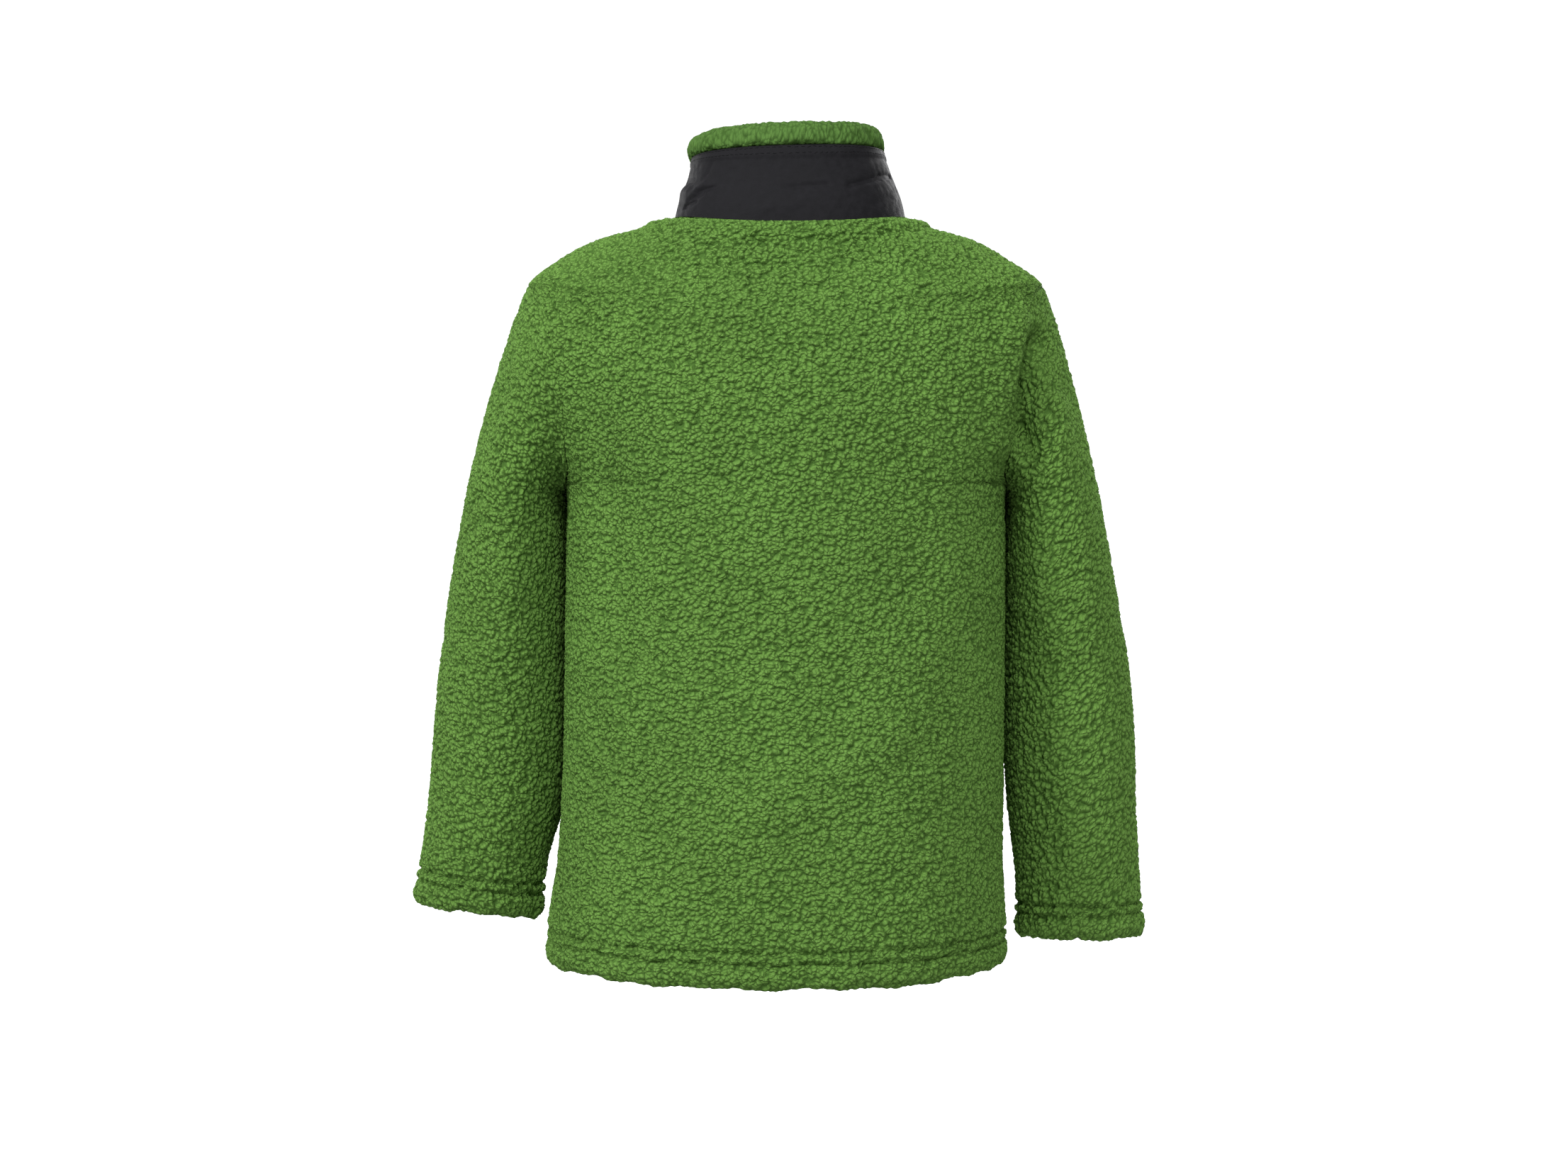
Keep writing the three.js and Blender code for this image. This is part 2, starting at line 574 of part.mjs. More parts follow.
// A strip that follows the zip between two distances from the middle, over a share of its length.
function zipStrip(from, to, face, thick, startShare, endShare) {
  const rows = 26;
  const across = [from, (from + to) / 2, to];
  const lines = across.map((x) => [zipLine(x, face), zipLine(x, face + thick)]);
  const grid = [];
  for (let i = 0; i <= rows; i++) {
    const share = startShare + ((endShare - startShare) * i) / rows;
    grid.push(lines.map(([front, rear]) => [front.getPointAt(share), rear.getPointAt(share)]));
  }
  return wallGeometry(grid);
}

// Hardware of the zip, in a frame of its own: +Y up the zip, +Z out of the garment.
const sliderAt = 0.965; // share of the zip's length
const boxAt = 0.012;
const box = { width: 4.8, length: 8, depth: 3.4 };
const slider = {
  halfTop: 4.4, halfFoot: 3, length: 10.5, plate: 1.2, gap: 3.2, post: 1.9, postShare: 0.3, shoulder: 0.2,
};
const bail = { half: 1, span: 7.6, height: 3.4, bar: 1, foot: 0.4, corner: 0.6 };
const pull = {
  length: 25, half: 3.4, thick: 1.2, bar: 1.2, eyeHalf: 1.7, eyeLength: 5.4, eyeWall: 1.1,
  neck: 1, shoulder: 3, drop: -1, lift: 1.2,
};

function zipPlace(share) {
  const line = zipLine(0, tapeThick / 2);
  const tangent = line.getTangentAt(share);
  const out = new THREE.Vector3(1, 0, 0).cross(tangent).normalize();
  const group = new THREE.Group();
  group.matrixAutoUpdate = false;
  group.matrix.makeBasis(new THREE.Vector3(1, 0, 0), tangent, out).setPosition(line.getPointAt(share));
  return group;
}

function extruded(shape, depth, steps = 4) {
  return new THREE.ExtrudeGeometry(shape, { depth, bevelEnabled: false, curveSegments: steps });
}

function solidOf(geometry) {
  const plain = geometry.index ? geometry.toNonIndexed() : geometry;
  const seen = new Map();
  const vertices = [];
  const faces = [];
  const position = plain.getAttribute("position");
  for (let i = 0; i < position.count; i++) {
    const at = [position.getX(i), position.getY(i), position.getZ(i)];
    const key = at.map((value) => Math.round(value * 1e4)).join();
    if (!seen.has(key)) {
      seen.set(key, vertices.length / 3);
      vertices.push(...at);
    }
    faces.push(seen.get(key));
  }
  return new wasm.Manifold(
    new wasm.Mesh({
      numProp: 3,
      vertProperties: new Float32Array(vertices),
      triVerts: new Uint32Array(faces),
    }),
  );
}

function joined(geometries) {
  const mesh = geometries.map(solidOf).reduce((all, one) => all.add(one)).getMesh();
  const geometry = new THREE.BufferGeometry();
  geometry.setAttribute("position", new THREE.BufferAttribute(mesh.vertProperties, 3));
  geometry.setIndex(new THREE.BufferAttribute(mesh.triVerts, 1));
  return geometry;
}

function sliderPlate(z) {
  const { halfTop, halfFoot, length } = slider;
  const shape = new THREE.Shape();
  shape.moveTo(-halfFoot, -length / 2);
  shape.lineTo(halfFoot, -length / 2);
  shape.lineTo(halfTop, length * slider.shoulder);
  shape.quadraticCurveTo(halfTop, length / 2, 0, length / 2);
  shape.quadraticCurveTo(-halfTop, length / 2, -halfTop, length * slider.shoulder);
  return extruded(shape, slider.plate).translate(0, 0, z);
}

// The bridge over the slider, seen from its side, that the pull's bar goes through.
function bridgeShape() {
  const { span, height, bar, foot, corner } = bail;
  const shape = new THREE.Shape();
  const [outside, inside] = [span / 2, span / 2 - bar];
  shape.moveTo(-outside, -foot);
  shape.lineTo(-inside, -foot);
  shape.lineTo(-inside, height - bar - corner);
  shape.lineTo(-inside + corner, height - bar);
  shape.lineTo(inside - corner, height - bar);
  shape.lineTo(inside, height - bar - corner);
  shape.lineTo(inside, -foot);
  shape.lineTo(outside, -foot);
  shape.lineTo(outside, height - bar);
  shape.lineTo(outside - bar, height);
  shape.lineTo(-outside + bar, height);
  shape.lineTo(-outside, height - bar);
  return shape;
}

function sliderGeometry() {
  const { gap, plate, post, postShare, length } = slider;
  const middle = new THREE.BoxGeometry(2 * post, length * postShare, gap + plate);
  middle.translate(0, length * postShare, 0);
  const bridge = extruded(bridgeShape(), 2 * bail.half).translate(0, 0, -bail.half);
  bridge.applyMatrix4(
    new THREE.Matrix4().makeBasis(
      new THREE.Vector3(0, 1, 0),
      new THREE.Vector3(0, 0, 1),
      new THREE.Vector3(1, 0, 0),
    ),
  );
  bridge.translate(0, 0, gap / 2 + plate);
  return joined([sliderPlate(gap / 2), sliderPlate(-gap / 2 - plate), middle, bridge]);
}

// The tab hangs straight down from the bar that goes through the slider's bridge.
function pullGeometry() {
  const { length, half, thick, bar, eyeHalf, eyeLength, eyeWall, neck, shoulder } = pull;
  const eyeOutside = eyeHalf + eyeWall;
  const shape = new THREE.Shape();
  shape.moveTo(-eyeOutside, bar / 2);
  shape.lineTo(-eyeOutside, -eyeLength - neck);
  shape.lineTo(-half, -eyeLength - shoulder);
  shape.lineTo(-half, -length + half);
  shape.absarc(0, -length + half, half, Math.PI, 2 * Math.PI, false);
  shape.lineTo(half, -eyeLength - shoulder);
  shape.lineTo(eyeOutside, -eyeLength - neck);
  shape.lineTo(eyeOutside, bar / 2);
  const eye = new THREE.Path();
  eye.moveTo(-eyeHalf, -bar / 2);
  eye.lineTo(eyeHalf, -bar / 2);
  eye.lineTo(eyeHalf, -bar / 2 - eyeLength);
  eye.lineTo(-eyeHalf, -bar / 2 - eyeLength);
  shape.holes.push(eye);
  return extruded(shape, thick, 6).translate(0, 0, -thick / 2);
}

function zipHardware() {
  const sliderGroup = zipPlace(sliderAt);
  sliderGroup.add(piece("zip_slider", sliderGeometry(), zipBlack));
  const pivot = new THREE.Vector3(0, pull.drop, slider.gap / 2 + slider.plate + pull.lift);
  const pullGroup = new THREE.Group();
  pullGroup.position.copy(pivot.applyMatrix4(sliderGroup.matrix));
  pullGroup.rotation.x = Math.PI / 2;
  pullGroup.add(piece("zip_pull", pullGeometry(), pullMetal));
  const boxGroup = zipPlace(boxAt);
  boxGroup.add(piece("zip_box", new THREE.BoxGeometry(box.width, box.length, box.depth), zipBlack));
  return [sliderGroup, pullGroup, boxGroup];
}

const jacket = new THREE.Group();
jacket.add(piece("back", backPanel(), green));
for (const [name, side] of Object.entries({ left: 1, right: -1 })) {
  jacket.add(piece("front_" + name, frontPanel(side), green));
  jacket.add(piece("sleeve_" + name, sleeveGeometry(side), green));
  const edges = side > 0 ? [chainHalf + seamGap, tapeReach] : [-tapeReach, -chainHalf - seamGap];
  jacket.add(piece("zip_tape_" + name, zipStrip(...edges, 0, tapeThick, 0, 1), tapeBlack));
}
jacket.add(piece("collar_shell", collarGeometry(collarShell), black));
jacket.add(piece("collar_lining", collarGeometry(collarLining), green));
const chainFace = (tapeThick - chainThick) / 2;
const chain = zipStrip(-chainHalf, chainHalf, chainFace, chainThick, chainSpan.from, chainSpan.to);
jacket.add(piece("zip_chain", chain, zipBlack));
jacket.add(...zipHardware());

export default jacket;
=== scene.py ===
import math

import bmesh
import bpy
import numpy as np
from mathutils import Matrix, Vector


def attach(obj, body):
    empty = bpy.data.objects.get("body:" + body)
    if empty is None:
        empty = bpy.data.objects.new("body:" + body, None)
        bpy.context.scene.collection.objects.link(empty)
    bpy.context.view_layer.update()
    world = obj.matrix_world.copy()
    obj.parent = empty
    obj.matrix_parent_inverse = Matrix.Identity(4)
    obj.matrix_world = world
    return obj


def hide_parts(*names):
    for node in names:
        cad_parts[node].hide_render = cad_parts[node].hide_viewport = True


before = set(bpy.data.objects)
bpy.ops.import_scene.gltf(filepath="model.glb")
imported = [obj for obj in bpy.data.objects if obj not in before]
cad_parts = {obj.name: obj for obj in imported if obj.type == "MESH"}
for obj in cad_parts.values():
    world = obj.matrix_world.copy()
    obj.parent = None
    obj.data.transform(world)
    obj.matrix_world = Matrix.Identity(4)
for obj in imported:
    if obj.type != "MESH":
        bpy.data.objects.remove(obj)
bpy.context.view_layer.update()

scene = bpy.context.scene
mm = 0.001  # every table and size below is in millimetres

# The cut: cloth and seam sizes, shared by every piece
cut = {
    "fleece": 3.0,
    "nylon": 1.0,
    "tape": 0.8,
    "tapeGap": 0.9,
    "sectionPower": 2.3,  # 2 is an ellipse, more is squarer
    "zipGap": 6.0,  # from the middle of the zip to the cloth's edge
    "armpitUp": 283.0,
    "shoulderUp": 401.0,
    "neckUp": 476.0,
    "hemUp": 30.0,
}


def table(columns, *rows):
    return dict(zip(columns.split(), np.array(rows, float).T))


# The body's outer face from the hem to the neck seam, up along the cloth
torsoRings = table(
    "up sideZ backZ frontZ middleX halfWidth back front",
    (0, -439, -443.5, -443, 4.5, 134.5, 95, 98),
    (28, -412.5, -415.5, -415, 4, 134.5, 96, 99.5),
    (60, -383, -383, -383, 2.5, 131.5, 95, 100),
    (110, -333, -333, -333, 0.6, 130, 93, 99.5),
    (200, -243, -243, -243, -0.6, 129.6, 90.5, 97),
    (250, -193, -193, -194, -1, 129.4, 91, 95.5),
    (283, -160, -160, -164, -1.2, 129.5, 92.5, 95),
    (313, -130, -131, -138, -1.2, 137, 93.5, 94),
    (343, -100, -103, -116, -1, 149, 92.5, 92),
    (373, -70, -77, -100, -1, 157, 88, 88),
    (401, -42, -57, -89, -0.8, 152, 80.5, 83.5),
    (420, -28, -45, -80, 0, 134.5, 75, 79),
    (440, -15.6, -34, -70, -0.6, 112, 69.5, 74.5),
    (460, -8.4, -23, -59.5, -1.4, 86.5, 65.5, 70),
    (476, -2.5, -11, -47, -3.6, 72.6, 63.5, 66),
)
collarRings = table(  # lean: how much lower the left side is than the middle
    "up sideZ backZ frontZ middleX halfWidth back front lean",
    (0, -6, -14.6, -50.5, -3.8, 69.2, 60, 62.6, 0),
    (14, 9, 2, -37, -3.6, 65.6, 56.5, 63.4, 0.2),
    (28, 24, 18, -23.5, -3.2, 59.8, 51.5, 64.6, 1.1),
    (42, 37.5, 37, -9, -2, 56.2, 47, 66, 2.1),
    (56, 51.5, 51.8, 5, -1.6, 54, 43.5, 67.4, 2.4),
)
armholeEdges = table(  # turn in degrees from armpit to shoulder, the others how far round from the side
    "turn back front",
    (0, 0, 0),
    (30, 0.26, 0.3),
    (60, 0.43, 0.48),
    (90, 0.565, 0.59),
    (120, 0.575, 0.59),
    (150, 0.41, 0.43),
    (180, 0, 0),
)
sleeveRings = {
    "left": table(
        "z x y halfWidth halfDepth tilt",
        (-172, 160.2, -15, 30.7, 52, 0),
        (-215, 164, -19, 34.8, 50, 2),
        (-260, 167.4, -22, 38.2, 46, 3),
        (-305, 169.8, -23, 40.2, 42, 4),
        (-345, 172.8, -24, 40.4, 38, 5),
        (-380, 180, -25, 37.8, 33, 6.5),
        (-413, 184.6, -26, 38.4, 29.5, 7),
    ),
    "right": table(
        "z x y halfWidth halfDepth tilt",
        (-172, 160.6, -15, 28.6, 52, 0),
        (-220, 165.1, -19, 33.3, 50, 1),
        (-265, 169, -22, 37.4, 46, 1.5),
        (-310, 171.2, -23, 39.2, 42, 1.5),
        (-350, 173, -24, 38.4, 38, 1.5),
        (-390, 176.4, -25, 37.2, 33, 1),
        (-429, 178.6, -28, 38, 29.5, 0.5),
    ),
}
hemProfile = table(
    "up out thick",
    (0, -1.6, 3.2),
    (3, 0.5, 6),
    (8, 1.4, 7),
    (13, 0.9, 6),
    (16, 1, 6),
    (19, 0.6, 5.4),
    (24, 0.4, 3.4),
    (30, 0, 3),
)

# Soft folds along lines on the cloth: a trough where out is negative, else a ridge.
# On the body, across is the distance from the middle and along runs up from the hem.
foldColumns = "fromAcross fromAlong toAcross toAlong halfWidth out"
bodyFolds = {
    "back": table(
        foldColumns,
        (112, 378, 92, 190, 17, -3.4),
        (136, 366, 126, 306, 12, 3.6),
        (66, 330, 52, 170, 22, 1.4),
        (-133, 376, -122, 306, 10, 6),
        (-86, 405, -66, 225, 22, -2.6),
        (26, 84, -58, 138, 17, 2.2),
        (12, 128, -34, 166, 16, -1.4),
        # smaller ones
        (104, 300, 98, 214, 6, -0.9),
        (-100, 372, -92, 300, 6, -0.8),
        (-70, 60, 40, 46, 7, -0.7),
        (84, 70, 20, 42, 7, 0.7),
        (118, 160, 84, 118, 9, -1.0),
        (-112, 196, -76, 130, 10, -1.0),
        (30, 436, -20, 428, 7, -0.7),
        (-50, 440, -84, 420, 7, -0.8),
        (62, 438, 92, 414, 7, -0.8),
    ),
    "front": table(
        foldColumns,
        (106, 372, 84, 215, 18, -3),
        (-110, 380, -80, 235, 17, -3.2),
        (112, 190, 66, 120, 16, -2),
        (-112, 150, -60, 96, 18, 2),
        (100, 300, 78, 236, 7, -0.9),
        (-104, 320, -92, 250, 7, -0.8),
        (96, 90, 52, 56, 9, -0.9),
        (-98, 220, -70, 176, 9, -0.9),
        (-88, 66, -40, 52, 8, -0.7),
        (60, 420, 88, 396, 8, -0.8),
        (-62, 424, -90, 398, 8, -0.8),
    ),
}
# On a sleeve, across runs round it from the inner side by way of the back, and along is the height
sleeveGirth = 250.0
sleeveFolds = {
    "left": table(
        foldColumns,
        (40, -108, 24, -170, 13, -3),
        (66, -150, 60, -240, 18, 1.5),
        (226, -212, 186, -228, 10, -3),
        (222, -252, 176, -258, 10, -2.6),
        (216, -296, 184, -288, 9, -2),
        (96, -118, 84, -170, 9, -0.9),
        (34, -232, 70, -246, 8, -0.8),
        (30, -330, 64, -322, 8, -0.7),
        (70, -372, 40, -384, 8, -0.7),
        (150, -330, 176, -352, 9, -0.9),
        (120, -250, 150, -262, 9, -0.7),
    ),
    "right": table(
        foldColumns,
        (90, -79, 46, -138, 8.5, -7.5),
        (96, -74, 70, -106, 4.5, -7),
        (76, -100, 46, -136, 5, -7),
        (84, -112, 68, -150, 9, 3),
        (70, -150, 62, -232, 11, -2.4),
        (36, -130, 38, -230, 12, 1.6),
        (228, -220, 190, -240, 10, -3),
        (224, -268, 180, -270, 11, -2.8),
        (214, -312, 182, -302, 9, -2),
        (88, -150, 84, -210, 8, -0.9),
        (40, -262, 72, -270, 8, -0.8),
        (36, -346, 70, -352, 8, -0.7),
        (66, -392, 34, -400, 8, -0.7),
        (146, -350, 176, -366, 9, -0.9),
        (118, -240, 150, -256, 9, -0.7),
    ),
}


# Surface functions, for whole arrays of places at once

def smoothStep(value, low, high):
    t = np.clip((value - low) / (high - low), 0, 1)
    return t * t * (3 - 2 * t)


def unit(vectors):
    return vectors / np.maximum(np.linalg.norm(vectors, axis=-1, keepdims=True), 1e-9)


def hermite(start, leave, end, arrive, t):
    return (
        start * (2 * t**3 - 3 * t**2 + 1)
        + leave * (t**3 - 2 * t**2 + t)
        + end * (3 * t**2 - 2 * t**3)
        + arrive * (t**3 - t**2)
    )


def tableAt(rows, key, at):  # every column on a smooth curve through the rows
    sign = 1 if rows[key][1] > rows[key][0] else -1
    keys, at = rows[key] * sign, np.asarray(at, float) * sign
    steps = np.diff(keys)
    i = np.clip(np.searchsorted(keys, at) - 1, 0, len(keys) - 2)
    t = (at - keys[i]) / steps[i]
    found = {}
    for name, values in rows.items():
        rises = np.diff(values) / steps
        inner = (rises[:-1] * steps[1:] + rises[1:] * steps[:-1]) / (steps[:-1] + steps[1:])
        slopes = np.concatenate([rises[:1], inner, rises[-1:]])
        found[name] = hermite(values[i], slopes[i] * steps[i], values[i + 1], slopes[i + 1] * steps[i], t)
    return found


def ringPoint(ring, angle):  # angle 0 is the left side, a quarter turn is the back
    across, along = np.cos(angle), np.sin(angle)
    bend = 2 / cut["sectionPower"]
    behind = along > 0
    depth = np.where(behind, ring["back"], ring["front"])
    endZ = np.where(behind, ring["backZ"], ring["frontZ"])
    x = ring["middleX"] + np.sign(across) * ring["halfWidth"] * np.abs(across) ** bend
    y = np.sign(along) * depth * np.abs(along) ** bend
    z = ring["sideZ"] + (endZ - ring["sideZ"]) * along**2 - ring.get("lean", 0) * across
    return np.stack(np.broadcast_arrays(x, y, z), -1)


def ringNormal(rings, up, angle, stepUp=0.5, stepRound=0.004):
    above, ring, below = (tableAt(rings, "up", up + step) for step in (stepUp, 0, -stepUp))
    upward = ringPoint(above, angle) - ringPoint(below, angle)
    around = ringPoint(ring, angle + stepRound) - ringPoint(ring, angle - stepRound)
    return unit(np.cross(around, upward))


def angleAtX(ring, x):  # on the front
    share = (x - ring["middleX"]) / ring["halfWidth"]
    return -np.arccos(np.sign(share) * np.abs(share) ** (cut["sectionPower"] / 2))


def armholeEdge(up, face):
    share = (up - cut["armpitUp"]) / (cut["shoulderUp"] - cut["armpitUp"])
    turn = np.degrees(np.arccos(np.clip(1 - 2 * share, -1, 1)))
    return tableAt(armholeEdges, "turn", turn)[face]


def foldOut(folds, across, along):
    out = np.zeros(np.broadcast(across, along).shape)
    for x0, z0, x1, z1, halfWidth, height in zip(*folds.values()):
        run = np.array([x1 - x0, z1 - z0])
        share = ((across - x0) * run[0] + (along - z0) * run[1]) / (run @ run)
        held = np.clip(share, 0, 1)
        away = np.hypot(across - x0 - held * run[0], along - z0 - held * run[1])
        out += height * np.exp(-((away / halfWidth) ** 2))
    return out


def bodyFoldOut(up, angle):
    across = ringPoint(tableAt(torsoRings, "up", up), angle)[..., 0]
    back, front = (foldOut(bodyFolds[face], across, up) for face in ("back", "front"))
    return np.where(np.sin(angle) > 0, back, front) * smoothStep(np.abs(np.sin(angle)), 0.05, 0.4)


def wander(along, seed, reach, *waves):  # a slow, uneven sideways wave for a sewn line
    chance = np.random.default_rng(seed)
    total = np.zeros(np.shape(along))
    for wave in waves:
        total += chance.uniform(0.5, 1) * np.sin(2 * math.pi * along / wave + chance.uniform(0, 6.28))
    return reach * total / len(waves)


def sewnGroove(away, along, seed, depth=3.2, halfWidth=1.4):  # where a row of stitches pulls the pile in
    deep = depth * (0.72 + wander(along, seed, 0.4, 9, 17, 31))
    return -deep * np.exp(-(((away + wander(along, seed + 1, 0.8, 14, 23, 41)) / halfWidth) ** 2))


# Node helpers

def addNode(tree, kind, inputs=None, **settings):
    made = tree.nodes.new(kind)
    for name, value in settings.items():
        setattr(made, name, value)
    for name, value in (inputs or {}).items():
        if isinstance(value, bpy.types.NodeSocket):
            tree.links.new(value, made.inputs[name])
        else:
            made.inputs[name].default_value = value
    return made


def maths(tree, operation, first, second=0.0, third=0.0):
    made = addNode(tree, "ShaderNodeMath", {0: first, 1: second, 2: third}, operation=operation)
    return made.outputs[0]


def vectorMaths(tree, operation, first, second):
    made = addNode(tree, "ShaderNodeVectorMath", {0: first, 1: second}, operation=operation)
    return made.outputs[0]


def noise(tree, place, scale, detail=2.0, roughness=0.5):
    inputs = {"Vector": place, "Scale": scale, "Detail": detail, "Roughness": roughness}
    return addNode(tree, "ShaderNodeTexNoise", inputs)


def spread(tree, value, low, high, fromLow=0.0, fromHigh=1.0, smooth=True):
    kind = "SMOOTHSTEP" if smooth else "LINEAR"
    inputs = {"Value": value, "From Min": fromLow, "From Max": fromHigh, "To Min": low, "To Max": high}
    return addNode(tree, "ShaderNodeMapRange", inputs, interpolation_type=kind).outputs[0]


# The pile: the same nub pattern moves the mesh and sets its colour, with painted shade in the crevices and
# painted light on the nub tops
pile = {
    "nubsPerMetre": 440.0,
    "warpPerMetre": 220.0,
    "warpReach": 0.0031,
    "lumpsPerMetre": 260.0,
    "lumpShare": 0.2,
    "fuzzPerMetre": 1000.0,
    "fuzz": 0.24,
    "lift": 2.0,  # mm from the deepest crevice to the highest nub
    "bump": 0.0028,
}


def pileHeight(tree, place):  # 0 in a crevice, about 1 on a nub
    warp = noise(tree, place, pile["warpPerMetre"], 1.0)
    middle = vectorMaths(tree, "SUBTRACT", warp.outputs["Color"], (0.5, 0.5, 0.5))
    reach = (pile["warpReach"],) * 3
    bent = vectorMaths(tree, "ADD", vectorMaths(tree, "MULTIPLY", middle, reach), place)
    nub = addNode(tree, "ShaderNodeTexVoronoi", {"Vector": bent, "Scale": pile["nubsPerMetre"]}, feature="F1")
    dome = spread(tree, nub.outputs["Distance"], 1.0, 0.0, 0.1, 0.95)
    lump = noise(tree, bent, pile["lumpsPerMetre"], 1.0).outputs[0]
    swell = spread(tree, lump, 0.0, pile["lumpShare"], 0.3, 0.7, False)
    return maths(tree, "MULTIPLY_ADD", dome, 1 - pile["lumpShare"], swell)


def pileTree():
    tree = bpy.data.node_groups.new("raisePile", "GeometryNodeTree")
    tree.interface.new_socket("Geometry", in_out="INPUT", socket_type="NodeSocketGeometry")
    tree.interface.new_socket("Geometry", in_out="OUTPUT", socket_type="NodeSocketGeometry")
    start, end = tree.nodes.new("NodeGroupInput"), tree.nodes.new("NodeGroupOutput")
    place = addNode(tree, "GeometryNodeInputNamedAttribute", {"Name": "restPlace"}, data_type="FLOAT_VECTOR")
    amount = addNode(tree, "GeometryNodeInputNamedAttribute", {"Name": "pileLift"}, data_type="FLOAT")
    height = pileHeight(tree, place.outputs[0])
    lift = maths(tree, "MULTIPLY", maths(tree, "SUBTRACT", height, 0.6), amount.outputs[0])
    normal = tree.nodes.new("GeometryNodeInputNormal")
    offset = addNode(tree, "ShaderNodeVectorMath", {0: normal.outputs[0], "Scale": lift}, operation="SCALE")
    inputs = {"Geometry": start.outputs[0], "Offset": offset.outputs[0]}
    moved = addNode(tree, "GeometryNodeSetPosition", inputs)
    tree.links.new(moved.outputs[0], end.inputs[0])
    return tree


# Mesh helpers

def clothWall(name, outer, inner, tube=False, flip=False, lift=None, comb=None):
    # a closed wall with a fine outer face and an inner face coarser by a whole step
    rows, columns = outer.shape[:2]
    innerRows, innerColumns = inner.shape[:2]
    step = (rows - 1) // (innerRows - 1)
    count = rows * columns
    outerId = np.arange(count).reshape(rows, columns)
    innerId = count + np.arange(innerRows * innerColumns).reshape(innerRows, innerColumns)
    if tube:
        outerId = np.concatenate([outerId, outerId[:, :1]], 1)
        innerId = np.concatenate([innerId, innerId[:, :1]], 1)
    faces, maps = [], []

    def patch(ids, u0, v0, u1, v1, turned):
        a, b, c, d = ids[:-1, :-1], ids[:-1, 1:], ids[1:, 1:], ids[1:, :-1]
        quads = np.stack([a, b, c, d], -1).reshape(-1, 4)
        us = np.linspace(u0, u1, ids.shape[1])
        vs = np.linspace(v0, v1, ids.shape[0])
        grid = np.stack(np.meshgrid(us, vs), -1)
        spots = np.stack([grid[:-1, :-1], grid[:-1, 1:], grid[1:, 1:], grid[1:, :-1]], 2).reshape(-1, 4, 2)
        if turned:
            quads, spots = quads[:, ::-1], spots[:, ::-1]
        faces.extend(quads.tolist())
        maps.extend(spots.reshape(-1, 2).tolist())

    def rim(fine, coarse, v0, v1, turned):
        # a strip from a fine edge to a coarse one, welded to both; a corner is its point and its map place
        def addTriangle(*corners):
            corners = corners[::-1] if turned else corners
            faces.append([int(corner[0]) for corner in corners])
            maps.extend([corner[1] / (len(fine) - 1), corner[2]] for corner in corners)

        for k in range(len(coarse) - 1):
            low, high = k * step, (k + 1) * step
            middle = (low + high) // 2
            for j in range(low, high):
                other = k if j < middle else k + 1
                addTriangle((fine[j], j, v0), (fine[j + 1], j + 1, v0), (coarse[other], other * step, v1))
            addTriangle((fine[middle], middle, v0), (coarse[k + 1], high, v1), (coarse[k], low, v1))

    patch(outerId, 0, 0.2, 1, 1, flip)
    patch(innerId, 0, 0.06, 1, 0.19, not flip)
    rim(outerId[0], innerId[0], 0.05, 0.04, not flip)
    rim(outerId[-1], innerId[-1], 0.035, 0.025, flip)
    if not tube:
        rim(outerId[:, 0], innerId[:, 0], 0.02, 0.012, flip)
        rim(outerId[:, -1], innerId[:, -1], 0.01, 0.002, not flip)
    points = np.concatenate([outer.reshape(-1, 3), inner.reshape(-1, 3)]) * mm
    raised = np.zeros(len(points))
    if lift is not None:
        raised[:count] = lift.ravel()
    return meshObject(name, points, faces, maps, raised, comb)


def meshObject(name, points, faces, maps=None, raised=None, comb=None):
    # comb is the way the pile lies, and how much longer its curls are that way
    mesh = bpy.data.meshes.new(name)
    mesh.from_pydata(points.tolist(), [], faces)
    mesh.polygons.foreach_set("use_smooth", np.ones(len(mesh.polygons), bool))
    if maps is not None:
        layer = mesh.uv_layers.new(name="OFBake")
        layer.uv.foreach_set("vector", np.array(maps, np.float32).ravel())
    made = bpy.data.objects.new(name, mesh)
    scene.collection.objects.link(made)
    if raised is not None:
        rest = points
        if comb is not None:
            way = unit(np.array(comb[:3], float))
            rest = points + (points @ way)[:, None] * way * (1 / comb[3] - 1)
        place = mesh.attributes.new("restPlace", "FLOAT_VECTOR", "POINT")
        place.data.foreach_set("vector", rest.astype(np.float32).ravel())
        amount = mesh.attributes.new("pileLift", "FLOAT", "POINT")
        amount.data.foreach_set("value", (raised * pile["lift"] * mm).astype(np.float32))
    mesh.update()
    return made


raisePile = pileTree()


def raiseNubs(made):
    made.modifiers.new("pile", "NODES").node_group = raisePile
    graph = bpy.context.evaluated_depsgraph_get()
    raised = bpy.data.meshes.new_from_object(made.evaluated_get(graph))
    plain = made.data
    made.modifiers.clear()
    made.data = raised
    bpy.data.meshes.remove(plain)
    raised.name = made.name
    return made


def evenly(points, count):  # for each row of points, the shares that space count places evenly along it
    lengths = np.linalg.norm(np.diff(points, axis=1), axis=2)
    total = np.concatenate([np.zeros((len(points), 1)), np.cumsum(lengths, axis=1)], 1)
    shares = np.linspace(0, 1, points.shape[1])
    wanted = np.linspace(0, 1, count)
    even = np.array([np.interp(wanted * row[-1], row, shares) for row in total])
    return even, total[:, -1]


